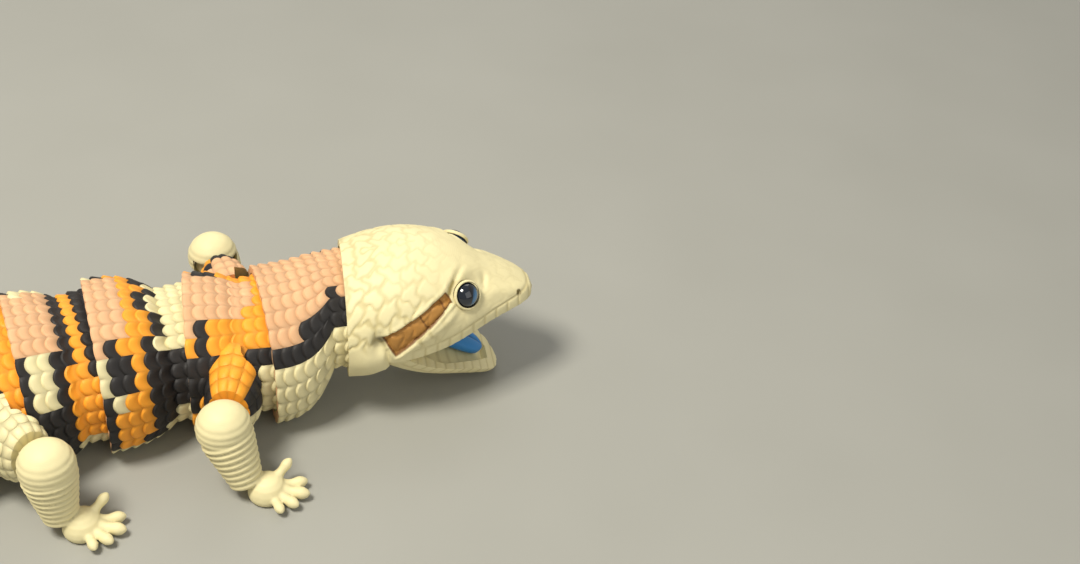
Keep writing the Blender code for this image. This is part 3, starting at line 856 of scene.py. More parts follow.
class ScaleRule(Rule):
    """Geometry nodes that raise scales on a skin.

    The skin carries the attributes column, phase, bias, hold, outward and rearward. A column
    is one lengthwise row of scales, and the phase runs from 0 at a scale's front to 1 at its
    rear. The height is kept as the attribute crest.
    """

    def __init__(self) -> None:
        """Builds the tree."""
        super().__init__("ScaleRelief", (("Rise", "Float"), ("Lobe", "Float"), ("Tuck", "Float")))
        nodes = self.nodes
        rise, lobe, tuck = self.inputs("Rise", "Lobe", "Tuck")
        edge = (self.carried("column").one("FRACT") * 2 - 1).one("ABSOLUTE")
        pillow = 1 - edge ** 2.0
        phase = self.carried("phase")
        front = tuck + (1 - tuck) * phase.step(-0.1, 0.8)
        rear = 1 - phase.step(0.86, 1.0) * 0.45
        height = (pillow ** 0.7 * 0.8 + 0.2) * front * rear
        out = self.scaled("outward", rise * (height - self.carried("bias")))
        back = self.scaled("rearward", lobe * pillow * self.carried("hold"))
        offset = nodes.node("ShaderNodeVectorMath", {"operation": "ADD"}, {0: out, 1: back})
        moved = nodes.node("GeometryNodeSetPosition", values={"Geometry": self.given["Geometry"],
                                                              "Offset": offset.outputs[0]})
        position = nodes.node("GeometryNodeInputPosition").outputs[0]
        spot = nodes.node("ShaderNodeSeparateXYZ", values={0: position})
        level = nodes.maths("MAXIMUM", spot.outputs[2], 0.0)
        flat = nodes.node("ShaderNodeCombineXYZ", values={0: spot.outputs[0], 1: spot.outputs[1], 2: level})
        rested = nodes.node("GeometryNodeSetPosition", values={"Geometry": moved.outputs[0],
                                                               "Position": flat.outputs[0]})
        kept = nodes.node("GeometryNodeStoreNamedAttribute", {"data_type": "FLOAT", "domain": "POINT"},
                          {"Geometry": rested.outputs[0], "Name": "crest", "Value": height})
        self.close(kept.outputs[0])

    def carried(self, name: str, kind: str = "FLOAT") -> Value:
        """Attribute that the skin carries."""
        node = self.nodes.node("GeometryNodeInputNamedAttribute", {"data_type": kind}, {"Name": name})
        return Value(self.nodes, node.outputs["Attribute"])

    def scaled(self, name: str, size: Value) -> Socket:
        """Direction that the skin carries, times a size."""
        node = self.nodes.node("ShaderNodeVectorMath", {"operation": "SCALE"},
                               {0: self.carried(name, "FLOAT_VECTOR"), "Scale": size})
        return node.outputs[0]


@dataclass
class ScaledSkin:
    """Closed skin with rows of scales, from rings that follow the edges of the rows.

    The tuck is the height of a scale's front edge beside that of its rear edge, and the
    groove is how light the painted shade leaves the paint between scales, beside that on them.
    """

    name: str
    columns: int
    tuck: float = 0.12
    # share of the paint left by the painted shade in the grooves
    groove: float = 0.68
    rings: list[np.ndarray] = field(default_factory=list)
    phase: list[float] = field(default_factory=list)
    row: list[int] = field(default_factory=list)
    bias: list[float] = field(default_factory=list)
    hold: list[float] = field(default_factory=list)

    def add(self, points: np.ndarray, row: int, phase: float, bias: float, hold: float) -> None:
        """Adds one ring with its place in its row of scales.

        Args:
            points: points of the ring.
            row: number of the row.
            phase: part of the row's length.
            bias: height of a scale that counts as level.
            hold: share of the rear edge's lobe.
        """
        self.rings.append(points)
        self.row.append(row)
        self.phase.append(phase)
        self.bias.append(bias)
        self.hold.append(hold)

    def make(self, scales: ScaleRule, finish: Material, middles: np.ndarray, rearward: Triple,
             colours: Callable, rise: float, lobe: float) -> Piece:
        """Builds the skin, raises its scales and paints them.

        Args:
            scales: the rule that raises the scales.
            finish: the material.
            middles: a point inside each ring, from which its scales rise.
            rearward: direction in which the scales point.
            colours: gives the colours for arrays of row, column and side.
            rise: height of a scale.
            lobe: how far the middle of a scale's rear edge reaches back.

        Returns:
            The painted skin.
        """
        rings = np.array(self.rings)
        count, sides = rings.shape[:2]
        skin = shell(self.name, rings)
        turn = np.arange(sides) / sides * 2
        column = np.minimum(turn, 2 - turn) * self.columns
        outward = rings - middles[:, None]
        outward -= np.array(rearward) * (outward @ np.array(rearward))[..., None]
        outward /= np.maximum(np.linalg.norm(outward, axis=2), 1e-6)[..., None]

        def by_point(values: np.ndarray) -> np.ndarray:
            """Values for all points, with zero at the middles of the ends."""
            flat = np.broadcast_to(values, (count, sides)).reshape(-1)
            return np.concatenate((flat, [0.0, 0.0]))

        mesh = skin.data
        store(mesh, "column", by_point(column[None]))
        for name in ("phase", "bias", "hold"):
            store(mesh, name, by_point(np.array(getattr(self, name))[:, None]))
        store(mesh, "outward", np.concatenate((outward.reshape(-1, 3), np.zeros((2, 3)))), "FLOAT_VECTOR")
        store(mesh, "rearward", np.tile(rearward, (count * sides + 2, 1)), "FLOAT_VECTOR")
        scales.run(skin, Rise=rise, Lobe=lobe, Tuck=self.tuck, Finish=finish)
        middle_column = (np.minimum(turn + 1 / sides, 2 - turn - 1 / sides) * self.columns).astype(int)
        side = np.where(turn < 1, 1, -1)
        rows = np.array(self.row)[:-1]
        cells = colours(rows[:, None], middle_column[None], side[None]).reshape(-1, 3)
        caps = np.concatenate((np.tile(cells[:1], (sides, 1)), np.tile(cells[-1:], (sides, 1))))
        self.paint(skin.data, np.concatenate((cells, caps)))
        return skin

    def paint(self, mesh: bpy.types.Mesh, faces: np.ndarray) -> None:
        """Stores the colour of each face, with painted shade darkening the grooves between scales.

        Args:
            mesh: mesh of the skin.
            faces: colour of each face.
        """
        crest = np.empty(len(mesh.vertices), dtype=np.float32)
        mesh.attributes["crest"].data.foreach_get("value", crest)
        totals = np.empty(len(mesh.polygons), dtype=np.int32)
        mesh.polygons.foreach_get("loop_total", totals)
        corners = np.empty(len(mesh.loops), dtype=np.int32)
        mesh.loops.foreach_get("vertex_index", corners)
        # painted shade: the paint darkens where the scales are low, in the grooves between them
        shade = mix(self.groove, 1, np.clip(crest[corners] * 1.9 - 0.1, 0, 1))
        store_paint(mesh, np.repeat(faces, totals, axis=0) * shade[:, None])


def cell_colours(bands: tuple[Band, ...], ground: Tone, columns: int, key: int,
                 first: float, row_part: float) -> Callable:
    """Rule for the colours of scales.

    Args:
        bands: the bands, of which the last one that covers a scale counts.
        ground: colour where there is no band.
        columns: lengthwise rows of scales on each side.
        key: number that makes the unevenness of this skin its own.
        first: part of the length at the front of the first row.
        row_part: part of the length that one row takes.

    Returns:
        Function from arrays of row, column and side to colours.
    """
    def colours(row: np.ndarray, column: np.ndarray, side: np.ndarray) -> np.ndarray:
        """Colours of scales, with ragged edges between the bands.

        Args:
            row: number of the row.
            column: number of the column.
            side: 1 on the left, -1 on the right.

        Returns:
            Array of colours.
        """
        row, column, side = np.broadcast_arrays(row, column, side)
        angle = (column + 0.5 + 0.42 * scatter(row, column, side + 2 * key)) * 180 / columns
        place = first + (row + 0.5) * row_part + scatter(column, side, key) * 0.2 * row_part
        place = place + scatter(row, column, side * 3 + key) * 0.16 * row_part
        shown = np.broadcast_to(np.array(ground.value), (*place.shape, 3)).copy()
        for band in bands:
            shown[band.covers(angle, place, side)] = band.tone.value
        light = 1 + 0.06 * scatter(column * 3, row, side + key)
        return shown * light[..., None]
    return colours


@dataclass
class Segment:
    """One link of the body: scaled skin, slotted nose with its pin, and a cup at the rear."""

    name: str
    length: float
    heading: float
    front: Rim
    rear: Rim
    nose: float
    swing: float
    bands: tuple[Band, ...]
    slot: str
    key: int
    ground: Tone = Tone.CREAM
    behind: tuple[float, float] | None = None
    limb: Limb | None = None
    pitch: float = 3.3
    rise: float = 0.9
    lobe: float = 1.2
    lead: float = 0.5
    round_off: float = 0.8
    front_lap: float = 0.1
    rear_lap: float = 0.12
    samples: int = 8
    row_samples: int = 6
    tip: bool = False

    @property
    def columns(self) -> int:
        """Lengthwise rows of scales on each side."""
        return max(6, round(14.5 * self.rear.half / 26.5))

    @property
    def flare(self) -> float:
        """How far behind the axis the skin may leave the turned surface."""
        return (self.front.half - WALL) * math.tan(self.swing) + 1.0

    def base_ring(self, angles: np.ndarray, place: float) -> np.ndarray:
        """Points of the smooth skin at a place.

        Args:
            angles: directions from the middle.
            place: X of the ring.

        Returns:
            Array of points.
        """
        nose_rim = self.front.inset(WALL + GAP)
        if place >= -self.flare:
            return nose_rim.ring(angles, place)
        base = nose_rim.ring(angles, -self.flare)
        part = min(1.0, (-place - self.flare) / (self.length - self.flare))
        if self.tip:
            size = max(math.sqrt(max(0.0, 1 - part ** (2 / 0.9))) ** 0.8, 0.12)
            points = base * (0, size, size)
            points[:, 2] += self.rear.top * (0.4 - 0.45 * size)
        else:
            outer = Rim(self.rear.half, self.rear.under - FLAT_SINK, self.rear.top).ring(angles)
            points = base + (outer - base) * (1 - (1 - part) ** 3)
        points[:, 0] = place
        points[:, 2] = np.maximum(points[:, 2], 0)
        return points

    def build(self, scales: ScaleRule, finish: Material) -> Piece:
        """Makes the segment in its own frame.

        Args:
            scales: rule that raises the scales.
            finish: painted plastic.

        Returns:
            The closed piece.
        """
        angles = around(2 * self.columns * self.samples)
        skin = ScaledSkin(f"{self.name}_skin", self.columns)
        start = self.nose - self.lead
        rows = round((start + self.length) / self.pitch)
        step = (start + self.length) / rows
        ends = self.front.inset(WALL + GAP)
        skin.add(ends.inset(self.round_off).ring(angles, self.nose), 0, 0.0, 1.0, 0.0)
        for row in range(rows):
            for sample in range(self.row_samples + 1):
                phase = sample / self.row_samples
                shift = self.rear_lap if sample == self.row_samples and row < rows - 1 else 0.0
                shift -= self.front_lap if sample == 0 and row else 0.0
                place = start - step * (row + phase) + shift
                free = min(1.0, max(0.0, (-place - self.flare * 0.6) / (0.5 * self.flare)))
                hold = min(1.0, (start - place) / step, 0.3 + (place + self.length) / (1.4 * step))
                fade = 1.0 if not self.tip else max(0.0, min(1.0, (place + self.length) / 6))
                skin.add(self.base_ring(angles, place), row, phase, mix(1.0, 0.3, free), hold * fade)
        places = np.array([ring[0, 0] for ring in skin.rings])
        levels = mix(ends.middle, self.rear.middle, np.clip(-places / self.length, 0, 1))
        middles = np.stack((places, np.zeros_like(places), levels), axis=-1)
        colours = cell_colours(self.bands, self.ground, self.columns, self.key, -start / self.length,
                               step / self.length)
        size = min(1.0, 0.35 + 0.65 * self.rear.half / 26)
        body = skin.make(scales, finish, middles, (-1.0, 0.0, 0.0), colours, self.rise * size,
                         self.lobe * size)
        if self.limb:
            for side in (1, -1):
                self.limb.add_stub(body, side, self, scales, finish)
        if self.behind:
            cut_cup(body, self.rear, *self.behind, -self.length)
        self.cut_slot(body)
        return body

    def cut_slot(self, body: Piece) -> None:
        """Slots the nose and stands the pin in the slot.

        Args:
            body: piece of the segment.
        """
        size = self.front.link
        height = (self.front.under + self.front.top) / 2
        reach = PLATE_HEIGHT * size / 2 + SLOT_ROOM
        back, half = EYE_RADIUS * size + EYE_ROOM, SLOT_HALF * size
        outline = [(-back, -half), (self.nose + 2, -half), (self.nose + 2, half), (-back, half)]
        work(body, prism(outline, height - reach, height + reach, upright), Joinery.CUT)
        pin = circle((0, 0), PIN_RADIUS * size)
        work(body, prism(pin, height - reach - 1, height + reach + 1, upright), Joinery.ADD)


def cut_cup(body: Piece, rim: Rim, nose: float, swing: float, place: float) -> None:
    """Hollows the rear of a piece and leaves the link's plate with its eye in the hollow.

    Args:
        body: the piece.
        rim: its rear section.
        nose: how far the nose behind it reaches ahead of the axis.
        swing: how far that nose swings.
        place: X of the axis.
    """
    wall = nose * math.cos(swing) + (rim.half - WALL) * math.sin(swing) + CUP_ROOM
    angles = around(160)
    depths = np.linspace(-3 * rim.link, wall, 14)
    inner = rim.inset(WALL)
    rings = np.array([inner.ring(angles, depth, place + depth) for depth in depths])
    work(body, shell("tool", rings), Joinery.CUT)
    size = rim.link
    height = (rim.under + rim.top) / 2
    low, high = height - PLATE_HEIGHT * size / 2, height + PLATE_HEIGHT * size / 2
    eye = EYE_RADIUS * size
    half = PLATE_NECK * eye
    edge = math.asin(half / eye)
    root = place + wall + PLATE_ROOT
    outline = [(root, half)] + circle((place, 0), eye, 36, edge, math.tau - edge) + [(root, -half)]
    work(body, prism(outline, low, high, upright), Joinery.ADD)
    hole = circle((place, 0), PIN_RADIUS * size + GAP)
    work(body, prism(hole, low - 1, high + 1, upright), Joinery.CUT)


@dataclass
class Limb:
    """A pair of legs: stubs on a segment, and lower legs that swing on upright pins."""

    name: str
    ahead: float
    out: float
    reach: float
    wrist: tuple[float, float]
    turn: float
    bands: tuple[Band, ...]
    right_bands: tuple[Band, ...]
    ground: Tone
    radius: float = 7.7
    top: float = 29.6
    waist: float = 21.0
    swing: float = 18.0
    rib: float = 2.0
    stub_half: float = 7.6
    stub_root: float = 0.4
    stub_gap: float = 0.55
    clearance: float = 1.6
    plate_neck: float = 0.6
    side_room: float = 1.2
    rib_depth: float = 0.34
    columns: int = 7
    relief: float = 0.6
    bias: float = 0.35
    lap: float = 0.004
    pitch: float = 3.6
    samples: int = 8
    row_samples: int = 6
    palm_reach: float = 5.5
    skin_grid: float = 0.34
    floor_level: float = 0.12
    stations: tuple[tuple[float, float, float, float], ...] = (
        (0, 1.3, 5, 32), (0.45, 1.12, 6.5, 31), (0.8, 0.92, 9, 29.5), (1, 0.75, 12, 28))
    palm_profile: tuple[tuple[float, float], ...] = (
        (2.6, 0), (4.6, 0), (5.3, 1), (5.5, 2.2), (5.2, 3.8), (4.4, 5.4), (3.0, 6.6), (1.0, 7.2))

    def direction(self, side: int) -> np.ndarray:
        """Level direction from the root of the limb to its link."""
        vector = np.array((self.reach, self.out * side * (1 - self.stub_root), 0.0))
        return vector / np.linalg.norm(vector)

    def add_stub(self, body: Piece, side: int, segment: Segment, scales: ScaleRule,
                 finish: Material) -> None:
        """Grows the upper part of a limb out of a segment, with the plate of its link.

        Args:
            body: the segment's piece.
            side: 1 for the left limb, -1 for the right one.
            segment: the segment.
            scales: rule that raises the scales.
            finish: painted plastic.
        """
        knee = np.array((self.ahead, self.out * side, 0.0))
        root = np.array((self.ahead - self.reach, self.out * side * self.stub_root, 0.0))
        direction = self.direction(side)
        across = np.array((-direction[1], direction[0], 0.0))
        end = np.linalg.norm(knee - root) - self.radius - self.stub_gap
        angles = around(2 * self.columns * self.samples)
        skin = ScaledSkin("stub", self.columns)
        rows = round(end / self.pitch)

        def ring(part: float) -> np.ndarray:
            """Points round the stub at a part of its length.

            Args:
                part: that part.

            Returns:
                Array of points.
            """
            half, low, high = along(self.stations, part)
            level = mix(low, high, (np.cos(angles) + 1) / 2)
            flat = root + direction * end * part + np.outer(np.sin(angles) * half * self.stub_half, across)
            return flat + np.outer(level, (0, 0, 1))

        for row in range(rows):
            for sample in range(self.row_samples + 1):
                phase = sample / self.row_samples
                part = (row + phase) / rows
                part += self.lap if sample == 0 and row else 0.0
                hold = min(1.0, part * rows, 0.15 + (1 - part) * rows)
                skin.add(ring(part), row, phase, self.bias, hold)
        middles = np.array([points.mean(0) for points in skin.rings])
        bands = self.bands if side > 0 else self.right_bands
        colours = cell_colours(bands, self.ground, self.columns, segment.key + 5, 0.0, 1 / rows)
        stub = skin.make(scales, finish, middles, tuple(direction), colours, self.relief, self.relief)
        outer = segment.front.inset(-self.clearance)
        swept = Rim(outer.half, -3, outer.top)
        depths = np.linspace(-segment.flare, swept.half * 0.9, 14)
        room = np.array([swept.ring(around(80), depth) for depth in depths])
        work(stub, shell("tool", room), Joinery.CUT)
        work(body, stub, Joinery.ADD)
        self.add_plate(body, knee, direction, across)

    def add_plate(self, body: Piece, knee: np.ndarray, direction: np.ndarray, across: np.ndarray) -> None:
        """Adds the plate of the link, with the hole for its pin.

        Args:
            body: the segment's piece.
            knee: middle of the link.
            direction: level direction from the stub to the link.
            across: level direction across it.
        """
        low, high = self.waist - PLATE_HEIGHT / 2, self.waist + PLATE_HEIGHT / 2
        half = EYE_RADIUS * self.plate_neck
        edge = math.asin(half / EYE_RADIUS)
        back = self.radius + 2
        outline = [(back, half)] + circle((0, 0), EYE_RADIUS, 36, edge, math.tau - edge) + [(back, -half)]

        def to_stub(u: float, v: float, w: float) -> tuple:
            """Point of the plate, with its outline seen from above."""
            return tuple(knee - direction * u + across * v + np.array((0, 0, w)))

        work(body, prism(outline, low, high, to_stub), Joinery.ADD)
        work(body, prism(circle((0, 0), PIN_RADIUS + GAP), low - 1, high + 1, to_stub), Joinery.CUT)

    def build_leg(self, side: int, rules: LegRules) -> Piece:
        """Lower leg in its own frame, with its link at the origin.

        Args:
            side: 1 for the left leg, -1 for the right one.
            rules: rules of the shank and the toes.

        Returns:
            The closed leg.
        """
        side_name = "left" if side > 0 else "right"
        wrist = Vector((self.wrist[0], self.wrist[1] * side, 0))
        turn = math.radians(self.turn) * side
        palm = wrist + self.palm_reach * Vector((math.cos(turn), math.sin(turn), 0))
        start = Vector((0, 0, self.waist + 0.5))
        parts = [self.dome(), self.palm(palm), rules.shank(start, wrist, self.radius),
                 rules.toes(palm, turn, side)]
        leg = parts[0]
        leg.name = f"{self.name}_{side_name}_skin"
        bm = bmesh.new()
        for part in parts:
            bm.from_mesh(part.data)
        bm.to_mesh(leg.data)
        bm.free()
        for part in parts[1:]:
            bpy.data.objects.remove(part)
        remesh = leg.modifiers.new("Blend", "REMESH")
        remesh.mode = "VOXEL"
        remesh.voxel_size = self.skin_grid
        melt = leg.modifiers.new("Melt", "SMOOTH")
        melt.factor = 0.5
        melt.iterations = 2
        apply_modifiers(leg)
        points = points_of(leg.data)
        points[:, 2] = np.where(points[:, 2] < self.floor_level, 0, points[:, 2])
        leg.data.vertices.foreach_set("co", points.ravel())
        self.cut_link(leg, -self.direction(side))
        return leg

    def dome(self) -> Piece:
        """Round top of the lower leg, with ribs that fade toward its crown.

        Returns:
            The solid.
        """
        profile = []
        for step in range(1, 26):
            angle = math.pi / 2 * (1 - step / 26)
            level = mix(self.waist + 1.5, self.top, math.sin(angle))
            profile.append((self.radius * math.cos(angle), level))
        profile += [(self.radius, self.waist), (self.radius * 0.96, self.waist - 1.4),
                    (self.radius * 0.82, self.waist - 2.6), (self.radius * 0.4, self.waist - 3.6)]
        radii, levels = np.array(profile).T
        fine = np.linspace(levels[0], levels[-1], 120)
        radii = np.interp(-fine, -levels, radii)
        groove = 1 - np.abs(np.sin((self.top - fine) * math.pi / self.rib)) ** 0.7
        radii -= self.rib_depth * groove * (1 - smooth(self.waist + 4, self.waist + 8, fine))
        return self.turned("dome", zip(radii, fine), Vector((0, 0, 0)), 72)

    def palm(self, spot: Vector) -> Piece:
        """Low round palm."""
        return self.turned("palm", self.palm_profile, spot, 48)

    @staticmethod
    def turned(name: str, profile: Iterable[tuple[float, float]], spot: Vector, sides: int) -> Piece:
        """Round solid about an upright axis.

        Args:
            name: its name.
            profile: radius and height of each ring.
            spot: where the axis stands.
            sides: points in each ring.

        Returns:
            The solid.
        """
        angles = around(sides)
        rings = [np.stack((spot.x + radius * np.cos(angles), spot.y + radius * np.sin(angles),
                           np.full(sides, height)), axis=-1) for radius, height in profile]
        return shell(name, np.array(rings, dtype=float))

    def cut_link(self, leg: Piece, inward: np.ndarray) -> None:
        """Cuts the slot of the link and stands its pin in it.

        Args:
            leg: piece of the leg.
            inward: level direction to the stub.
        """
        reach = PLATE_HEIGHT / 2 + SLOT_ROOM
        across = np.array((-inward[1], inward[0], 0.0))
        wide = EYE_RADIUS * self.plate_neck + self.radius * math.tan(math.radians(self.swing))
        wide += self.side_room
        outline = circle((0, 0), (EYE_RADIUS + EYE_ROOM) * 1.06, 24, math.radians(80), math.radians(280))
        outline += [(self.radius * 1.3, -wide * 1.25), (self.radius * 1.3, wide * 1.25)]

        def to_leg(u: float, v: float, w: float) -> tuple:
            """Point of the slot, with its outline seen from above."""
            return tuple(inward * u + across * v + np.array((0, 0, w)))

        work(leg, prism(outline, self.waist - reach, self.waist + reach, to_leg), Joinery.CUT)
        pin = circle((0, 0), PIN_RADIUS)
        work(leg, prism(pin, self.waist - reach - 1, self.waist + reach + 1, upright), Joinery.ADD)


@dataclass
class LegRules:
    """Geometry nodes of a leg: the ribbed shank, and toes that fan out from the palm."""

    finish: Material
    shank_tip: float = 4.3
    shank_end: float = 4.4
    ribs: float = 4.5
    rib_depth: float = 0.19
    toe_count: int = 5
    toe_length: float = 9.8
    toe_thickness: float = 2.6
    toe_spread: float = math.radians(104)

    def __post_init__(self) -> None:
        """Builds both trees."""
        self.shank_rule = self.make_shank_rule()
        self.toe_rule = self.make_toe_rule()

    @staticmethod
    def make_shank_rule() -> Rule:
        """Bar from the round top to the wrist, with ribs all round it.

        Returns:
            The rule.
        """
        rule = Rule("RibbedShank", (("Start", "Vector"), ("End", "Vector"), ("Root", "Float"),
                                    ("Tip", "Float"), ("Ribs", "Float"), ("Depth", "Float")))
        root, tip, ribs, depth = rule.inputs("Root", "Tip", "Ribs", "Depth")
        line = rule.nodes.node("GeometryNodeCurvePrimitiveLine",
                               values={"Start": rule.given["Start"], "End": rule.given["End"]})

        def radius(part: Value) -> Value:
            """Radius of the tapered bar between its grooves and its ribs."""
            taper = root + (tip - root) * part ** 1.05
            wave = (part * ribs * math.tau).one("SINE").one("ABSOLUTE") ** 0.7
            return taper * (1 - depth * 0.5) + taper * depth * wave * part.step(0.0, 0.2)

        rule.close(rule.tube(line.outputs[0], 140, radius, 56))
        return rule

    @staticmethod
    def make_toe_rule() -> Rule:
        """Blunt knuckled toes set round the palm, the inner one raised.

        Returns:
            The rule.
        """
        rule = Rule("ToeFan", (("Palm", "Vector"), ("First", "Float"), ("Spread", "Float"), ("Count", "Int"),
                               ("Length", "Float"), ("Thickness", "Float")))
        nodes = rule.nodes
        first, spread, count, length, thick = rule.inputs("First", "Spread", "Count", "Length", "Thickness")
        index = Value(nodes, nodes.node("GeometryNodeInputIndex").outputs[0])
        turn = first + spread * (index / (count - 1))
        raised = 1 - index.step(0.0, 0.9)
        ahead = 2.6 - raised * 0.4
        parts = nodes.node("ShaderNodeSeparateXYZ", values={0: rule.given["Palm"]})
        x = Value(nodes, parts.outputs[0]) + turn.one("COSINE") * ahead
        y = Value(nodes, parts.outputs[1]) + turn.one("SINE") * ahead
        spot = nodes.node("ShaderNodeCombineXYZ", values={0: x, 1: y, 2: raised * 1.6 + 2.5})
        points = nodes.node("GeometryNodePoints", values={"Count": rule.given["Count"],
                                                          "Position": spot.outputs[0]})
        line = nodes.node("GeometryNodeCurvePrimitiveLine", values={"Start": (0, 0, 0), "End": (1, 0, 0)})

        def radius(part: Value) -> Value:
            """Radius of a toe of length 1, with its knuckles and its blunt tip."""
            knuckle = 0.84 + 0.16 * (part * 9.0 + 0.6).one("SINE")
            return thick / length * knuckle * (1.02 - part ** 6.0) ** 0.5 * (1 - part * 0.28)

        toe = rule.tube(line.outputs[0], 26, radius, 20)
        lift = nodes.node("ShaderNodeCombineXYZ", values={0: 0.0, 1: raised * -0.6, 2: turn})
        size = length * (1 - (index - 1.8).one("ABSOLUTE") * 0.1)
        fan = nodes.node("GeometryNodeInstanceOnPoints",
                         values={"Points": points.outputs[0], "Instance": toe,
                                 "Rotation": lift.outputs[0], "Scale": size})
        rule.close(fan.outputs[0])
        return rule

    def grow(self, rule: Rule, **values: object) -> Piece:
        """Runs a rule on an empty mesh and keeps its result.

        Args:
            rule: the rule.
            values: the value of each of its inputs.

        Returns:
            The result.
        """
        piece = new_object("part", bpy.data.meshes.new("part"))
        rule.run(piece, Finish=self.finish, **values)
        face_outwards(piece.data)
        return piece

    def shank(self, start: Vector, wrist: Vector, radius: float) -> Piece:
        """Ribbed shank from the round top to the wrist."""
        return self.grow(self.shank_rule, Start=start[:], End=(wrist.x, wrist.y, self.shank_end),
                         Root=radius * 0.98, Tip=self.shank_tip, Ribs=self.ribs, Depth=self.rib_depth)

    def toes(self, palm: Vector, turn: float, side: int) -> Piece:
        """Toes round a palm, evenly about the direction in which it points.

        Args:
            palm: middle of the palm.
            turn: that direction in radians.
            side: 1 for the left one, -1 for the right one.

        Returns:
            The toes.
        """
        return self.grow(self.toe_rule, Palm=palm[:], First=turn - self.toe_spread / 2 * side,
                         Spread=self.toe_spread * side, Count=self.toe_count, Length=self.toe_length,
                         Thickness=self.toe_thickness)


# Distance in millimetres that counts as far from the temple patch
FAR = 5.0

HEAD_STATIONS = (
    # place, half width, underside, top
    (0, 22.5, 0, 34), (9, 23.4, 0, 36.4), (18, 22.8, 0.1, 37.5), (27, 20.8, 1.7, 36), (35, 17.8, 4.4, 32.2),
    (43, 13.4, 7.2, 27), (50, 9.8, 9.9, 23), (54.3, 6.9, 11.6, 20.2), (56.3, 4.2, 13, 18.4),
    (57, 1.5, 14.6, 16.8),
)
LIP_STATIONS = ((8, 11.4), (18, 10.9), (28, 11.6), (38, 13.9), (48, 15.4), (60, 15.8))


def to_side(vector: Vector, side: int) -> Vector:
    """The vector itself for the left side, and mirrored for the right one."""
    return Vector((vector.x, vector.y * side, vector.z))


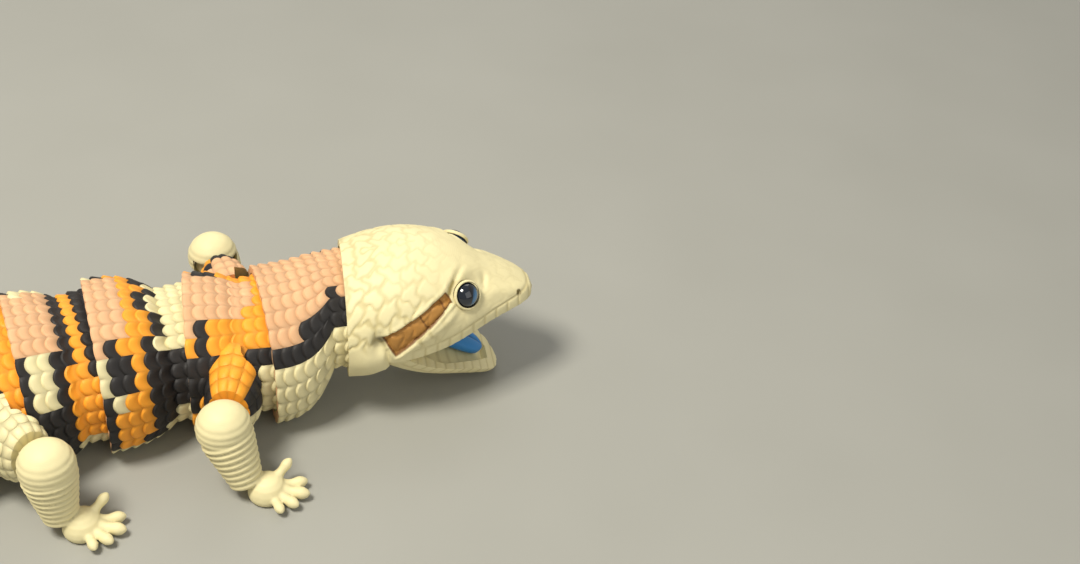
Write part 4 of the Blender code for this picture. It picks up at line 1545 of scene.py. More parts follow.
@dataclass
class Head:
    """Head with its swinging jaw, tongue and glass eyes."""

    neck_nose: float
    neck_swing: float
    length: float = 57.0
    lift: float = 11.0
    pitch: float = 3.0
    sides: int = 300
    rings: int = 176
    rim: Rim = Rim(22.5, 11.0, 45.0)
    hinge: tuple[float, float] = (17.8, 11.5)
    hub_radius: float = 5.2
    hub_half: float = 16.0
    pin_radius: float = 2.0
    pin_length: float = 2.2
    jaw_start: float = 6.0
    jaw_rear: float = 12.2
    jaw_reach: float = 0.92
    gape: float = 46.0
    lip_wall: float = 3.0
    trough_depth: float = 2.6
    palate_depth: float = 4.4
    palate_ends: tuple[float, float] = (22.0, 53.0)
    trough_ends: tuple[float, float] = (24.5, 52.5)
    tongue_ends: tuple[float, float] = (27.0, 49.5)
    tongue_half: float = 5.8
    tongue_height: float = 5.0
    labial: float = 3.7
    labial_height: float = 3.5
    eye_ball: float = 4.0
    eye_sink: float = 0.45
    eye_room: float = 0.3
    lid_half: tuple[float, float] = (0.42, 0.6)
    eye_place: tuple[float, float] = (35.3, 26.3)
    nostril: tuple[float, float] = (51.8, 19.5)
    ear: tuple[float, float] = (8.8, 19.2)
    temple: tuple[tuple[float, float], tuple[float, float]] = ((29.5, 27.6), (11.5, 17.2))
    plates: tuple[float, ...] = (0.12, 0.43)
    brick: tuple[float, float] = (5.2, 5.6)
    brick_corner: float = 1.5
    brick_line: float = 0.52
    tool_half: float = 40.0
    tool_low: float = -5.0
    tool_high: float = 80.0

    def height(self, place: float | np.ndarray, height: float | np.ndarray) -> float | np.ndarray:
        """Height above the floor of a point of the raised head."""
        return self.lift + height + place * math.tan(math.radians(self.pitch))

    def section(self, place: float) -> Rim:
        """Section of the closed head."""
        half, under, top = along(HEAD_STATIONS, place)
        return Rim(float(half), float(self.height(place, under)), float(self.height(place, top)))

    def lip(self, place: float | np.ndarray) -> np.ndarray:
        """Height above the floor of the line of the mouth."""
        return self.height(place, along(LIP_STATIONS, place)[0])

    def temple_fields(self, place: np.ndarray, height: np.ndarray) -> tuple[np.ndarray, np.ndarray]:
        """Distance inside the edge of the temple patch, and distance from its cross seams.

        Args:
            place: place along the head.
            height: height in the closed head.

        Returns:
            Both distances.
        """
        (x0, z0), (x1, z1) = self.temple
        run = np.array((x1 - x0, z1 - z0))
        size = float(np.linalg.norm(run))
        part = ((place - x0) * run[0] + (height - z0) * run[1]) / size ** 2
        away = np.abs((place - x0) * run[1] - (height - z0) * run[0]) / size
        half = mix(1.9, 3.8, np.clip(part, 0, 1))
        inside = np.minimum(half - away, np.minimum(part, 1 - part) * size)
        cross = np.min([np.abs(part - spot) * size for spot in self.plates], axis=0)
        return inside, cross

    def plate_lines(self, points: np.ndarray) -> np.ndarray:
        """Depth from 0 to 1 of the engraved lines between plates, which are rounded bricks.

        Args:
            points: points on the closed head.

        Returns:
            Array of the depth at each point.
        """
        place = points[:, 0]
        stations = np.linspace(0, self.length, 120)
        sections = [self.section(station) for station in stations]
        middle = np.interp(place, stations, [section.middle for section in sections])
        half = np.interp(place, stations, [section.half for section in sections])
        angle = np.abs(np.arctan2(points[:, 1], points[:, 2] - middle))
        wave = 0.24 * np.sin(place * 0.62 + 1.3 * np.sin(angle * 4))
        wave += 0.12 * np.sin(place * 1.7 + angle * 9)
        around_rows = angle * np.maximum(half, 8) / self.brick[1] + wave
        row = np.floor(around_rows)
        bend = 0.2 * np.sin(angle * 9 + row * 2.1) + 0.13 * np.sin(angle * 21 + place * 0.4)
        along_rows = place / self.brick[0] + 0.5 * (row % 2) + 0.35 * scatter(row, 5.0) + bend
        gaps = []
        for spot, size in ((along_rows, self.brick[0]), (around_rows, self.brick[1])):
            gaps.append((0.5 - np.abs(spot % 1 - 0.5)) * size)
        corner = np.maximum(self.brick_corner - np.array(gaps), 0)
        rounded = self.brick_corner - np.hypot(*corner)
        inside = np.where(corner.min(axis=0) > 0, rounded, np.min(gaps, axis=0))
        line = bump(np.maximum(inside, 0), 0, self.brick_line)
        height = points[:, 2] - self.height(place, 0)
        crown = smooth(25, 33, height) * smooth(6, 16, place)
        ahead = smooth(20, 31, place)
        cheek = smooth(14.5, 19.5, height + 0.2 * np.abs(place - 8))
        return line * (1 - 0.4 * crown) * (1 - 0.8 * ahead) * cheek

    def labials(self, place: np.ndarray, above: np.ndarray) -> np.ndarray:
        """Depth from 0 to 1 of the lines round the row of plates along a lip.

        Args:
            place: place along the head.
            above: distance from the line of the mouth.

        Returns:
            Array of depths.
        """
        shown = smooth(17, 20, place)
        row = bump(above, self.labial_height, 0.38) * shown
        teeth = np.abs((place / self.labial) % 1 - 0.5) * self.labial
        seams = bump(teeth, self.labial / 2, 0.36) * shown
        return np.maximum(row, seams * (above < self.labial_height))

    def engraving(self, points: np.ndarray, plates: float, lips: float) -> np.ndarray:
        """Depth from 0 to 1 of all the engraved lines.

        Args:
            points: points on the closed head.
            plates: depth of the lines between the plates.
            lips: depth of those along the lips.

        Returns:
            Array of the depth at each point.
        """
        above = np.abs(points[:, 2] - self.lip(points[:, 0]))
        lines = self.plate_lines(points) * smooth(2.5, 4.5, above)
        return np.maximum(plates * lines, lips * self.labials(points[:, 0], above))

    def eye_crease(self, place: np.ndarray, height: np.ndarray) -> np.ndarray:
        """Depth from 0 to 1 of the fold over the eye, from behind it to the front.

        Args:
            place: place along the head.
            height: height in the closed head.

        Returns:
            Array of depths.
        """
        ahead, above = place - self.eye_place[0], height - self.eye_place[1]
        far = np.hypot(ahead, above * 1.1)
        arc = bump(far, 5.9, 0.9) * smooth(-1.5, 1.5, above + 0.12 * ahead)
        tail = bump(above + 0.1 * (ahead + 6), 0.6, 0.7) * bump(ahead, -8.2, 2.4)
        return np.maximum(arc, tail)

    def relief(self, points: np.ndarray, lines: np.ndarray) -> np.ndarray:
        """How far the skin stands out at points of the smooth head.

        Args:
            points: the points.
            lines: depth of the engraved lines there.

        Returns:
            Array of distances.
        """
        place = points[:, 0]
        height = points[:, 2] - self.height(place, 0)
        flank = smooth(0.25, 0.6, np.abs(points[:, 1]) / np.maximum(along(HEAD_STATIONS, place)[0], 1))
        eye_x, eye_z = self.eye_place
        brow_height = eye_z + 5.0 - 0.05 * (place - eye_x) ** 2 / 6
        brow = 1.5 * bump(place, eye_x, 6.5) * bump(height, brow_height, 2.0)
        socket = -1.5 * np.exp(-((place - eye_x) / 6.4) ** 2 - ((height - eye_z) / 5.4) ** 2)
        crease = -1.0 * self.eye_crease(place, height)
        inside, cross = self.temple_fields(place, height)
        temple = -0.75 * smooth(-0.15, 0.35, inside) + 0.45 * smooth(0.35, 1.3, inside)
        temple -= 0.35 * np.exp(-(cross / 0.35) ** 2) * (inside > 0)
        temple += 0.35 * bump(inside, -0.7, 0.55)
        ear = -2.2 * np.exp(-((place - self.ear[0]) / 2.3) ** 2 - ((height - self.ear[1] + 0.8) / 3.4) ** 2)
        lobe = 1.3 * np.exp(-((place - 5.5) / 4.6) ** 2 - ((height - 12.5) / 5.5) ** 2)
        seam = -0.8 * bump(place, 11.0 + 0.02 * (height - 14) ** 2, 0.7) * (1 - smooth(15, 18, height))
        seam -= 3.4 * bump(place, 12.2, 3.4) * (1 - smooth(2, 9, height))
        ridge_height = 12.2 + (place - 12) * 0.55
        ridge = 0.7 * bump(height, ridge_height, 1.5) * smooth(12, 15, place) * (1 - smooth(29, 34, place))
        snout = 0.45 * bump(height, 24.5 - (place - 40) * 0.38, 1.3) * smooth(40, 44, place)
        return flank * (brow + socket + crease + temple + ear + lobe + seam + ridge + snout) - 0.34 * lines

    def skin(self, name: str, start: float, upper: bool) -> Piece:
        """Dense skin of the closed head with its relief.

        Args:
            name: name of the skin.
            start: place of its rear end.
            upper: whether it is for the upper head rather than for the jaw.

        Returns:
            The skin.
        """
        steps = np.linspace(0, 1, self.rings)
        places = start + (self.length - start) * (1 - (1 - steps) ** 1.25)
        angles = around(self.sides)
        rings = np.array([self.section(place).ring(angles, 0.0, place) for place in places])
        middles = np.array([(place, 0, self.section(place).middle) for place in places])
        last = rings[-1]
        rings = np.concatenate((rings, [middles[-1] + (last - middles[-1]) * 0.6 + np.array((0.25, 0, 0))]))
        middles = np.concatenate((middles, middles[-1:]))
        flat = rings.reshape(-1, 3)
        lines = self.engraving(flat, 1.0, 0.8)
        rise = self.relief(flat, lines) if upper else -0.3 * lines
        outward = (rings - middles[:, None]) * (0, 1, 1)
        outward /= np.maximum(np.linalg.norm(outward, axis=2), 1e-6)[..., None]
        rings = rings + outward * rise.reshape(rings.shape[:2])[..., None]
        return shell(name, rings)

    def lip_outline(self, offset: float, start: float, far: float) -> Outline:
        """Outline seen from the side, from the finely toothed lip to above or below the head.

        Args:
            offset: distance of the outline above the lip.
            start: place of its rear end.
            far: height of its far side.

        Returns:
            List of places and heights.
        """
        end = self.length + 4
        places = np.linspace(start, end, 150)
        tooth = 0.28 * np.abs(np.sin(places / self.labial * math.pi)) * np.clip((places - 20) / 4, 0, 1)
        line = [(float(p), float(self.lip(p) + offset + t)) for p, t in zip(places, tooth)]
        return line + [(end, far), (start, far)]

    def trim(self, body: Piece, outline: Outline, way: Joinery = Joinery.CUT) -> None:
        """Works on the whole width of a body along an outline seen from the side."""
        work(body, prism(outline, -self.tool_half, self.tool_half, sideways), way)

    @property
    def hinge_spot(self) -> tuple[float, float]:
        """Place and height above the floor of the jaw's hinge."""
        return self.hinge[0], float(self.height(*self.hinge))

    def side_spot(self, place: float, height: float) -> tuple[Vector, Vector]:
        """Point of the skin at a place and height, and its outward direction.

        Args:
            place: place along the head.
            height: height in the closed head.

        Returns:
            The point and the direction.
        """
        section = self.section(place)
        level = float(self.height(place, height))
        rise = (level - section.middle) / (section.top - section.middle)
        across = section.half * (1 - rise ** BACK_POWER) ** (1 / BACK_POWER)
        narrow = section.half - self.section(place + 1).half
        outward = Vector((narrow, 1, rise)).normalized()
        return Vector((place, across, level)), outward

    def hollow(self, start: float, end: float, upper: bool) -> Piece:
        """Tool for the roof of the mouth or for the floor of the closed jaw.

        Args:
            start: place of its rear end.
            end: place of its front end.
            upper: whether it is for the roof.

        Returns:
            The tool.
        """
        rings = []
        for part in np.linspace(0, 1, 30):
            place = mix(start, end, part)
            half = self.section(place).half - self.lip_wall
            lip = float(self.lip(place))
            if upper:
                half *= 1 - 0.5 * abs(2 * part - 1) ** 6
                edge, deep = lip - 4, lip + self.palate_depth
            else:
                half = min(half * (1 - 0.45 * part ** 6), self.hub_half)
                edge, deep = lip + 6, lip - self.trough_depth
            turn = np.linspace(0, math.pi, 25)
            u = half * np.sign(np.cos(turn)) * np.abs(np.cos(turn)) ** 0.45
            v = lip + (deep - lip) * np.abs(np.sin(turn)) ** 0.7
            u = np.concatenate(([half], u, [-half]))
            v = np.concatenate(([edge], v, [edge]))
            rings.append(np.stack((np.full_like(u, place), u, v), axis=-1))
        return shell("tool", np.array(rings))

    def build(self) -> Piece:
        """Upper head with its cup, cheeks, palate, sockets, ears and nostrils.

        Returns:
            The piece.
        """
        head = self.skin("head_skin", 0.0, True)
        self.trim(head, self.lip_outline(0, self.jaw_rear - 0.5, self.tool_low))
        notch = circle(self.hinge_spot, self.hub_radius + GAP, 64)
        work(head, prism(notch, -self.hub_half - GAP, self.hub_half + GAP, sideways), Joinery.CUT)
        cut_cup(head, self.rim, self.neck_nose, self.neck_swing, 0)
        work(head, self.hollow(*self.palate_ends, True), Joinery.CUT)
        hole = circle(self.hinge_spot, self.pin_radius + GAP)
        for side in (1, -1):
            low, high = sorted((side * (self.hub_half - 1), side * (self.pin_length + self.hub_half + 0.5)))
            work(head, prism(hole, low, high, sideways), Joinery.CUT)
            centre, outward = self.eye_centre(side)
            work(head, self.lid(centre, outward), Joinery.ADD)
            work(head, self.ball(centre, self.eye_ball + self.eye_room), Joinery.CUT)
            for place, radius, depth in ((self.nostril, 0.8, 1.5), (self.ear, 1.3, 1.4)):
                spot, out = (to_side(vector, side) for vector in self.side_spot(*place))
                tool = self.bar(spot - out * depth, spot + out * 2, radius * 0.6, radius * 1.6)
                work(head, tool, Joinery.CUT)
        self.dress(head.data)
        return head

    def dress(self, mesh: bpy.types.Mesh) -> None:
        """Stores the fields from which the head's finish is drawn.

        Args:
            mesh: mesh of the upper head.
        """
        points = points_of(mesh)
        place = points[:, 0]
        height = points[:, 2] - self.height(place, 0)
        inside, cross = self.temple_fields(place, height)
        across = np.abs(points[:, 1])
        outer = across > 0.62 * along(HEAD_STATIONS, place)[0]
        store(mesh, "temple", np.where(outer, inside, -FAR))
        store(mesh, "cross", np.where(outer, cross, FAR))
        # painted shade along the engraved lines and in the fold over the eye
        lines = self.engraving(points, 0.6, 0.5)
        store(mesh, "line", np.maximum(lines, 1.1 * self.eye_crease(place, height) * outer))
        spots = np.stack((place, across, points[:, 2]), axis=-1)
        # painted shade in the nostrils, the ears and the gap round each eye
        pit = np.zeros(len(points))
        for spot, reach in ((self.nostril, 1.0), (self.ear, 2.2)):
            middle, _ = self.side_spot(*spot)
            away = np.linalg.norm(spots - np.array(middle), axis=1)
            pit = np.maximum(pit, 1 - smooth(reach * 0.45, reach * 1.35, away))
        centre, _ = self.eye_centre(1)
        away = np.linalg.norm(spots - np.array(centre), axis=1)
        pit = np.maximum(pit, 0.9 * (1 - smooth(4.3, 4.5, away)))
        store(mesh, "pit", pit * outer)

    def eye_centre(self, side: int) -> tuple[Vector, Vector]:
        """Middle of an eyeball and the direction in which it looks."""
        spot, outward = self.side_spot(*self.eye_place)
        centre = spot - outward * self.eye_ball * self.eye_sink
        return to_side(centre, side), to_side(outward, side)

    def lid(self, centre: Vector, outward: Vector) -> Piece:
        """Raised rim round an eye.

        Args:
            centre: middle of the eyeball.
            outward: direction in which it looks.

        Returns:
            The rim.
        """
        turn = outward.to_track_quat("Z", "Y")
        wide, tall = self.lid_half
        bm = bmesh.new()
        rows = []
        for around_angle in around(60):
            row = []
            for angle in around(14):
                reach = self.eye_ball * 1.01 + wide * math.cos(angle)
                local = Vector((reach * math.cos(around_angle), reach * math.sin(around_angle),
                                tall * math.sin(angle)))
                row.append(bm.verts.new(centre + outward * self.eye_ball * 0.42 + turn @ local))
            rows.append(row)
        for i, row in enumerate(rows):
            other = rows[(i + 1) % len(rows)]
            for j, start in enumerate(row):
                k = (j + 1) % len(row)
                bm.faces.new((start, row[k], other[k], other[j]))
        bmesh.ops.recalc_face_normals(bm, faces=bm.faces)
        return object_from(bm)

    @staticmethod
    def ball(centre: Vector, radius: float, name: str = "tool") -> Piece:
        """Fine round ball.

        Args:
            centre: its middle.
            radius: its radius.
            name: its name.

        Returns:
            The ball.
        """
        bm = bmesh.new()
        bmesh.ops.create_uvsphere(bm, u_segments=64, v_segments=40, radius=radius)
        bmesh.ops.translate(bm, verts=bm.verts, vec=centre)
        return object_from(bm, name)

    @staticmethod
    def bar(start: Vector, end: Vector, first: float, second: float) -> Piece:
        """Round bar with its own radius at each end.

        Args:
            start: middle of one end.
            end: middle of the other end.
            first: radius at the start.
            second: radius at the end.

        Returns:
            The bar.
        """
        turn = (end - start).normalized().to_track_quat("Z", "Y")
        rings = [[start.lerp(end, part) + turn @ Vector((*spot, 0)) for spot in circle((0, 0), radius, 24)]
                 for part, radius in ((0, first), (1, second))]
        return shell("tool", np.array(rings))

    def open_jaw(self, piece: Piece) -> None:
        """Shortens a piece of the closed jaw and swings it down to the open pose.

        Args:
            piece: the piece.
        """
        place, height = self.hinge_spot
        hinge = Vector((place, 0, height))
        shorter = Matrix.Diagonal((self.jaw_reach, 1, 1, 1))
        turn = Matrix.Rotation(math.radians(self.gape), 4, "Y") @ shorter
        piece.data.transform(Matrix.Translation(hinge) @ turn @ Matrix.Translation(-hinge))

    def build_jaw(self) -> Piece:
        """Lower jaw in the open pose, with its hub and pins.

        Returns:
            The piece.
        """
        jaw = self.skin("jaw_skin", self.jaw_start, False)
        self.trim(jaw, self.lip_outline(-GAP, 4, self.tool_low), Joinery.KEEP)
        work(jaw, self.hollow(*self.trough_ends, False), Joinery.CUT)
        # painted shade along the jaw's engraved lines
        store(jaw.data, "line", self.engraving(points_of(jaw.data), 1.0, 0.6))
        self.open_jaw(jaw)
        self.trim(jaw, self.lip_outline(-GAP, self.jaw_rear - 20, self.tool_high))
        self.trim(jaw, [(-20, -self.tool_half), (self.jaw_rear, -self.tool_half),
                        (self.jaw_rear, self.tool_high), (-20, self.tool_high)])
        hub = prism(circle(self.hinge_spot, self.hub_radius, 64), -self.hub_half, self.hub_half, sideways)
        reach = self.hub_half + self.pin_length
        work(hub, prism(circle(self.hinge_spot, self.pin_radius), -reach, reach, sideways), Joinery.ADD)
        work(jaw, hub, Joinery.ADD)
        # the jaw has no temple patch and no painted shade of pits
        for name, value in (("temple", -FAR), ("cross", FAR), ("pit", 0.0)):
            store(jaw.data, name, np.full(len(jaw.data.vertices), value))
        return jaw

    def build_tongue(self) -> Piece:
        """Flat tongue with a rounded tip and a groove along it, lying in the open jaw.

        Returns:
            The piece.
        """
        rings, grooves = [], []
        angles = around(64)
        for step in range(61):
            part = math.sin(math.pi / 2 * step / 60)
            place = mix(*self.tongue_ends, part)
            size = max((1 - part ** 4) ** 0.5, 0.02)
            low = float(self.lip(place)) - self.trough_depth + 0.15
            high = low + self.tongue_height * (0.6 + 0.4 * size)
            across = np.sign(np.sin(angles)) * np.abs(np.sin(angles)) ** 0.8
            level = (np.sign(np.cos(angles)) * np.abs(np.cos(angles)) ** 0.7 + 1) / 2
            groove = bump(across, 0, 0.16) * (np.cos(angles) > 0) * size
            z = mix(low + 0.5 * (1 - size), high, level) - 0.75 * groove
            rings.append(np.stack((np.full(64, place), self.tongue_half * size * across, z), axis=-1))
            grooves.append(groove)
        tongue = shell("tongue_skin", np.array(rings))
        store(tongue.data, "groove", np.concatenate((np.array(grooves).ravel(), [0, 0])))
        self.open_jaw(tongue)
        return tongue

    def build_eye(self, side: int) -> Piece:
        """Round glass eye with its gaze stored for the iris.

        Args:
            side: 1 for the left one, -1 for the right one.

        Returns:
            The piece.
        """
        centre, outward = self.eye_centre(side)
        eye = self.ball(centre, self.eye_ball, "eye_left_glass" if side > 0 else "eye_right_glass")
        points = points_of(eye.data) - np.array(centre)
        out = np.array(outward)
        ahead = np.array((1.0, 0, 0)) - out * out[0]
        ahead /= np.linalg.norm(ahead)
        up = np.cross(out, ahead)
        gaze = np.stack((points @ ahead, points @ up, points @ out), axis=-1) / self.eye_ball
        store(eye.data, "gaze", gaze, "FLOAT_VECTOR")
        return eye


NECK_BANDS = (
    Band(Tone.SALMON, ((0, -2, 2), (35, -2, 2), (37, 0, 2), (58, 1, 2))),
    Band(Tone.SALMON, ((35, -2, 2), (47, -2, 2), (49, 0, 2), (68, 1, 2)), 1),
    Band(Tone.BLACK, ((33, -2, 0.02), (56, -2, 1.0), (57, -2, 2), (70, -2, 2)), -1),
    Band(Tone.BLACK, ((49, -2, 0.02), (67, -2, 1.0), (68, -2, 2), (79, -2, 2)), 1),
)
CHEST_BANDS = (
    Band(Tone.CREAM, ((108, -2, 2), (180, -2, 2))),
    Band(Tone.SALMON, ((0, 0.04, 2), (12, 0.08, 2), (24, 0.25, 2), (33, 0.45, 2), (38, 0.75, 2))),
    Band(Tone.BLACK, ((30, 0.6, 0.84), (47, 0.66, 0.9), (55, 0.68, 0.92), (58, 0.57, 2), (72, 0.68, 2),
                      (83, 0.76, 2), (100, 0.86, 2))),
    Band(Tone.BLACK, ((50, -2, 0.1), (60, -2, 0.26), (66, -2, 0.24), (83, -2, 0.33), (104, -2, 0.55))),
    Band(Tone.CREAM, ((66, -2, 0.02), (72, -2, 0.06), (83, -2, 0.17), (95, -2, 0.34), (111, -2, 0.5),
                      (180, -2, 0.6))),
)
TRUNK_1_BANDS = (
    Band(Tone.SALMON, ((0, 0.6, 2), (33, 0.6, 2), (40, 0.7, 1))),
    Band(Tone.ORANGE, ((0, 0.45, 0.68), (16, 0.41, 0.62), (33, 0.43, 0.64), (47, 0.5, 0.75),
                       (61, 0.51, 0.67), (72, 0.5, 0.72), (83, 0.51, 0.89), (95, 0.49, 0.88),
                       (111, 0.55, 0.92), (122, 0.6, 0.75))),
    Band(Tone.BLACK, ((0, 0.32, 0.45), (16, 0.28, 0.41), (33, 0.3, 0.43), (43, 0.3, 0.47), (48, 0.14, 0.5),
                      (61, 0.03, 0.51), (72, -2, 0.5), (90, -2, 0.5), (98, 0.16, 0.49), (108, 0.4, 0.55),
                      (116, 0.45, 0.58))),
    Band(Tone.BLACK, ((34, 0.64, 0.78), (47, 0.75, 0.9), (58, 0.67, 0.9), (63, 0.65, 0.9), (71, 0.72, 1),
                      (80, 0.87, 2), (111, 0.9, 2), (118, 0.9, 2))),
)
TRUNK_2_BANDS = (
    Band(Tone.SALMON, ((0, 0.3, 2), (34, 0.3, 2))),
    Band(Tone.BLACK, ((0, -2, 0.13), (47, -2, 0.17), (63, -2, 0.08))),
    Band(Tone.ORANGE, ((0, 0.13, 0.29), (33, 0.13, 0.29), (47, 0.17, 0.33), (61, 0.07, 0.38), (66, -2, 0.4),
                       (95, -2, 0.43), (113, -2, 0.4))),
    Band(Tone.BLACK, ((0, 0.29, 0.44), (33, 0.29, 0.44), (47, 0.33, 0.5), (61, 0.38, 0.56), (72, 0.42, 0.64),
                      (80, 0.44, 0.86), (95, 0.43, 0.9), (111, 0.4, 0.85), (119, 0.4, 0.8))),
    Band(Tone.BLACK, ((36, 0.86, 2), (47, 0.84, 2), (72, 0.88, 2), (100, 0.85, 2))),
)
PELVIS_BANDS = (
    Band(Tone.SALMON, ((0, 0.3, 2), (35, 0.3, 2))),
    Band(Tone.ORANGE, ((0, -2, 0.2), (40, -2, 0.25), (60, -2, 0.32), (104, -2, 0.4))),
    Band(Tone.BLACK, ((0, 0.2, 0.3), (60, 0.32, 0.45), (104, 0.4, 0.62), (116, 0.3, 0.6))),
    Band(Tone.BLACK, ((40, 0.84, 2), (108, 0.8, 2))),
)
TAIL_BANDS = (
    (Band(Tone.SALMON, ((0, 0.4, 2), (35, 0.4, 2))),
     Band(Tone.ORANGE, ((0, -2, 0.3), (60, -2, 0.38), (115, -2, 0.4))),
     Band(Tone.BLACK, ((0, 0.3, 0.42), (60, 0.38, 0.6), (115, 0.4, 0.62)))),
    (Band(Tone.SALMON, ((0, 0.5, 2), (30, 0.5, 2))),
     Band(Tone.BLACK, ((0, -2, 0.2), (60, -2, 0.25), (115, -2, 0.3))),
     Band(Tone.ORANGE, ((0, 0.2, 0.45), (60, 0.25, 0.5), (115, 0.3, 0.55))),
     Band(Tone.BLACK, ((0, 0.45, 0.55), (60, 0.5, 0.62), (115, 0.55, 0.7)))),
)
FRONT_STUB_BANDS = (
    Band(Tone.SALMON, ((0, -1, 0.8), (70, -1, 0.6))),
    Band(Tone.BLACK, ((0, 0.62, 0.88), (45, 0.66, 0.88))),
    Band(Tone.CREAM, ((130, -1, 2), (180, -1, 2))),
)
RIGHT_STUB_BANDS = (
    Band(Tone.BLACK, ((58, -1, 2), (104, -1, 2))),
    Band(Tone.CREAM, ((104, -1, 2), (180, -1, 2))),
)
HIND_STUB_BANDS = (
    Band(Tone.SALMON, ((0, -1, 0.4), (60, -1, 0.3))),
    Band(Tone.BLACK, ((0, 0.45, 0.65), (80, 0.4, 0.6))),
)

# Slots of the segments that aren't on cream plastic
SLOTS = {
    "chest": "orange_plastic", "tail_2": "orange_plastic", "tail_4": "orange_plastic",
    "tail_6": "orange_plastic", "neck": "salmon_plastic", "trunk_1": "salmon_plastic",
    "trunk_2": "salmon_plastic", "pelvis": "salmon_plastic",
}

# Joints of the segments that aren't on the one named after them
JOINTS = {"neck": "head_yaw", "chest": "neck_yaw"}

LIGHTS = (
    # name, spot, size, power, tint
    ("key", (-0.2, -0.2, 0.8), 0.25, 8.0, (1.0, 0.95, 0.84)),
    ("fill", (0.6, -0.5, 0.45), 0.7, 1.3, (1.0, 0.98, 0.94)),
    ("back", (0.1, 0.7, 0.6), 0.6, 1.8, (1.0, 0.97, 0.9)),
)


@dataclass
class Toy:
    """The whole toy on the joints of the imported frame."""

    spots: dict[str, tuple[float, float]]
    tail_pieces: int = 6
    tail_lengths: tuple[float, float] = (25.0, 19.5)
    tail_headings: tuple[float, float] = (43.0, 14.0)
    tail_start: Rim = Rim(24.5, 0, 38)
    tail_end: Rim = Rim(8.5, 0, 13.5)
    head_heading: float = 13.0
    long_nose: float = 6.0
    short_nose: float = 4.2
    least_nose: float = 2.6
    swing: float = math.radians(14)

    def tail_rim(self, index: int) -> Rim:
        """Rim of a tail piece, on an even taper."""
        part = index / (self.tail_pieces - 1)
        return Rim(mix(self.tail_start.half, self.tail_end.half, part), 0,
                   mix(self.tail_start.top, self.tail_end.top, part))

    def segments(self) -> list[Segment]:
        """The chain from the neck to the tip of the tail.

        Returns:
            The segments from front to rear.
        """
        long, short = self.long_nose, self.short_nose
        front = Limb("front_leg", -13, 39.5, -5, (5, 4.5), 18, FRONT_STUB_BANDS, RIGHT_STUB_BANDS,
                     Tone.ORANGE)
        hind = Limb("hind_leg", -4, 40, 6, (0.5, 2.5), 38, HIND_STUB_BANDS, (), Tone.CREAM)
        rows = [
            ("neck", 24.4, 21, Rim(24.6, 0, 39), short, NECK_BANDS, Tone.CREAM, None),
            ("chest", 21.5, 15, Rim(24.6, 0, 38.5), long, CHEST_BANDS, Tone.ORANGE, front),
            ("trunk_1", 26.5, 23, Rim(26.6, 0, 41.5), short, TRUNK_1_BANDS, Tone.CREAM, None),
            ("trunk_2", 21.5, 27, Rim(27, 0, 42), short, TRUNK_2_BANDS, Tone.CREAM, None),
            ("pelvis", 26, 35, self.tail_start, long, PELVIS_BANDS, Tone.CREAM, hind),
        ]
        for index in range(self.tail_pieces):
            part = index / (self.tail_pieces - 1)
            nose = max(long * self.tail_rim(index).half / LINK_WIDTH, self.least_nose)
            rear = self.tail_rim(min(index + 1, self.tail_pieces - 1))
            rows.append((f"tail_{index + 1}", mix(*self.tail_lengths, part), mix(*self.tail_headings, part),
                         rear, nose, TAIL_BANDS[index % len(TAIL_BANDS)], Tone.CREAM, None))
        chain = []
        rim = Head.rim
        for key, (name, length, heading, rear, nose, bands, ground, limb) in enumerate(rows):
            chain.append(Segment(name, length, heading, rim, rear, nose, self.swing, bands,
                                 SLOTS.get(name, "cream_plastic"), key * 7 + 1, ground, limb=limb))
            rim = rear
        for piece, after in zip(chain, chain[1:]):
            piece.behind = (after.nose, after.swing)
        chain[-1].tip = True
        return chain

    def build(self) -> None:
        """Builds every piece and sets it in the frame."""
        painted = Plastic("printed_plastic", Tone.CREAM.value, painted=True).make()
        cream = Plastic("cream_plastic", Tone.CREAM.value).make()
        chain = self.segments()
        self.build_head(Head(chain[0].nose, chain[0].swing))
        scales = ScaleRule()
        rules = LegRules(cream)
        for segment in chain:
            joint = JOINTS.get(segment.name, f"{segment.name}_yaw")
            place = Placement(self.spots[joint], segment.heading)
            hand_over(segment.build(scales, painted), place, segment.name, segment.name, segment.slot,
                      painted)
            if segment.limb:
                for side_name, side in (("left", 1), ("right", -1)):
                    name = f"{segment.limb.name}_{side_name}"
                    leg_place = Placement(self.spots[f"{name}_swing"], segment.heading)
                    leg = segment.limb.build_leg(side, rules)
                    hand_over(leg, leg_place, name, name, "cream_plastic", cream, crease=50)

    def build_head(self, head: Head) -> None:
        """Builds the head, the jaw with its tongue, and the eyes.

        Args:
            head: the head.
        """
        place = Placement(self.spots["head_yaw"], self.head_heading)
        finish = HeadPlastic("head_plastic", Tone.CREAM.value).make()
        hand_over(head.build(), place, "head", "head", "cream_plastic", finish)
        hand_over(head.build_jaw(), place, "jaw", "jaw", "cream_plastic", finish)
        tongue = TonguePlastic().make()
        hand_over(head.build_tongue(), place, "tongue", "jaw", "blue_plastic", tongue, crease=80)
        glass = EyeGlass().make()
        for name, side in (("eye_left", 1), ("eye_right", -1)):
            hand_over(head.build_eye(side), place, name, "head", "eye_glass", glass, crease=80)


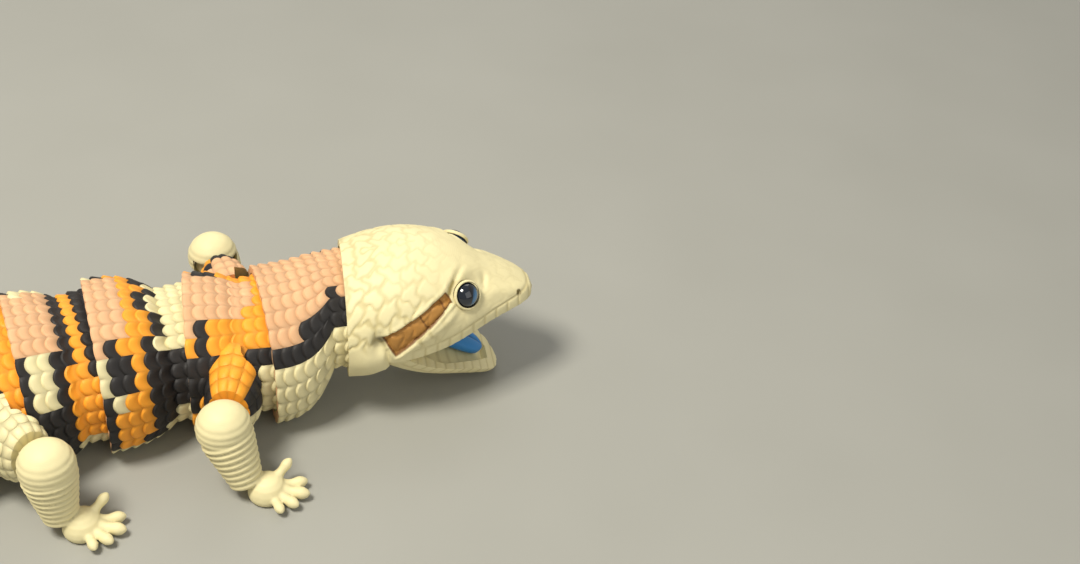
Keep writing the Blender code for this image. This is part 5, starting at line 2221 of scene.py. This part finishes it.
@dataclass(frozen=True)
class Studio:
    """Pale floor, soft lights and the camera at the photograph's angle."""

    target: Triple = (0.1420, 0.0597, 0.0225)
    distance: float = 0.4435
    elevation: float = 37.8
    roll: float = 4.2
    view_angle: float = 42.0
    aim: Triple = (0.03, 0.01, 0.02)
    floor_reach: float = 6.0
    floor_tones: tuple[tuple[float, ...], ...] = ((0.32, 0.32, 0.29, 1), (0.36, 0.36, 0.33, 1))
    floor_grain: float = 14.0
    floor_roughness: float = 0.8
    sky: tuple[float, ...] = (1.0, 0.98, 0.94, 1)
    sky_strength: float = 0.36

    def build(self) -> None:
        """Adds the floor, the surroundings, the lights and the camera."""
        self.floor()
        self.world()
        bpy.context.scene.view_settings.view_transform = "Standard"
        for name, spot, size, power, tint in LIGHTS:
            data = bpy.data.lights.new(name, "AREA")
            data.size = size
            data.energy = power
            data.color = tint
            lamp = new_object(name, data)
            lamp.location = spot
            aim = Vector(self.aim) - Vector(spot)
            lamp.rotation_euler = aim.to_track_quat("-Z", "Y").to_euler()
        self.camera()

    def camera(self) -> None:
        """Camera that looks at the front of the toy from above."""
        data = bpy.data.cameras.new("camera")
        data.lens = data.sensor_width / 2 / math.tan(math.radians(self.view_angle / 2))
        data.clip_start = 0.01
        angle = math.radians(self.elevation)
        back = self.distance * Vector((0, math.cos(angle), -math.sin(angle)))
        tilt = Matrix.Rotation(math.pi / 2 - angle, 4, "X")
        turn = tilt @ Matrix.Rotation(math.radians(self.roll), 4, "Z")
        camera = new_object("camera", data)
        camera.matrix_world = Matrix.Translation(Vector(self.target) - back) @ turn
        bpy.context.scene.camera = camera

    def floor(self) -> None:
        """Large plain floor."""
        mesh = bpy.data.meshes.new("floor")
        reach = self.floor_reach
        mesh.from_pydata([(-reach, -reach, 0), (reach, -reach, 0), (reach, reach, 0), (-reach, reach, 0)],
                         [], [(0, 1, 2, 3)])
        material, nodes, shader = new_material("floor")
        spot = nodes.node("ShaderNodeTexCoord").outputs["Object"]
        colour = nodes.blend(nodes.cloud(spot, self.floor_grain, 2.0), *self.floor_tones)
        nodes.feed(shader.inputs["Base Color"], colour)
        shader.inputs["Roughness"].default_value = self.floor_roughness
        mesh.materials.append(material)
        new_object("floor", mesh)

    def world(self) -> None:
        """Even pale surroundings."""
        world = bpy.data.worlds.new("studio")
        world.use_nodes = True
        background = world.node_tree.nodes["Background"]
        background.inputs["Color"].default_value = self.sky
        background.inputs["Strength"].default_value = self.sky_strength
        bpy.context.scene.world = world


def main() -> None:
    """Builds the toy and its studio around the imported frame."""
    logging.basicConfig(level=logging.INFO, format="%(message)s")
    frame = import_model()
    spots = {joint["name"]: tuple(joint["pos_m"][:2]) for joint in frame["joints"]}
    Toy(spots).build()
    Studio().build()
    bpy.context.view_layer.update()


if __name__ == "__main__":
    main()
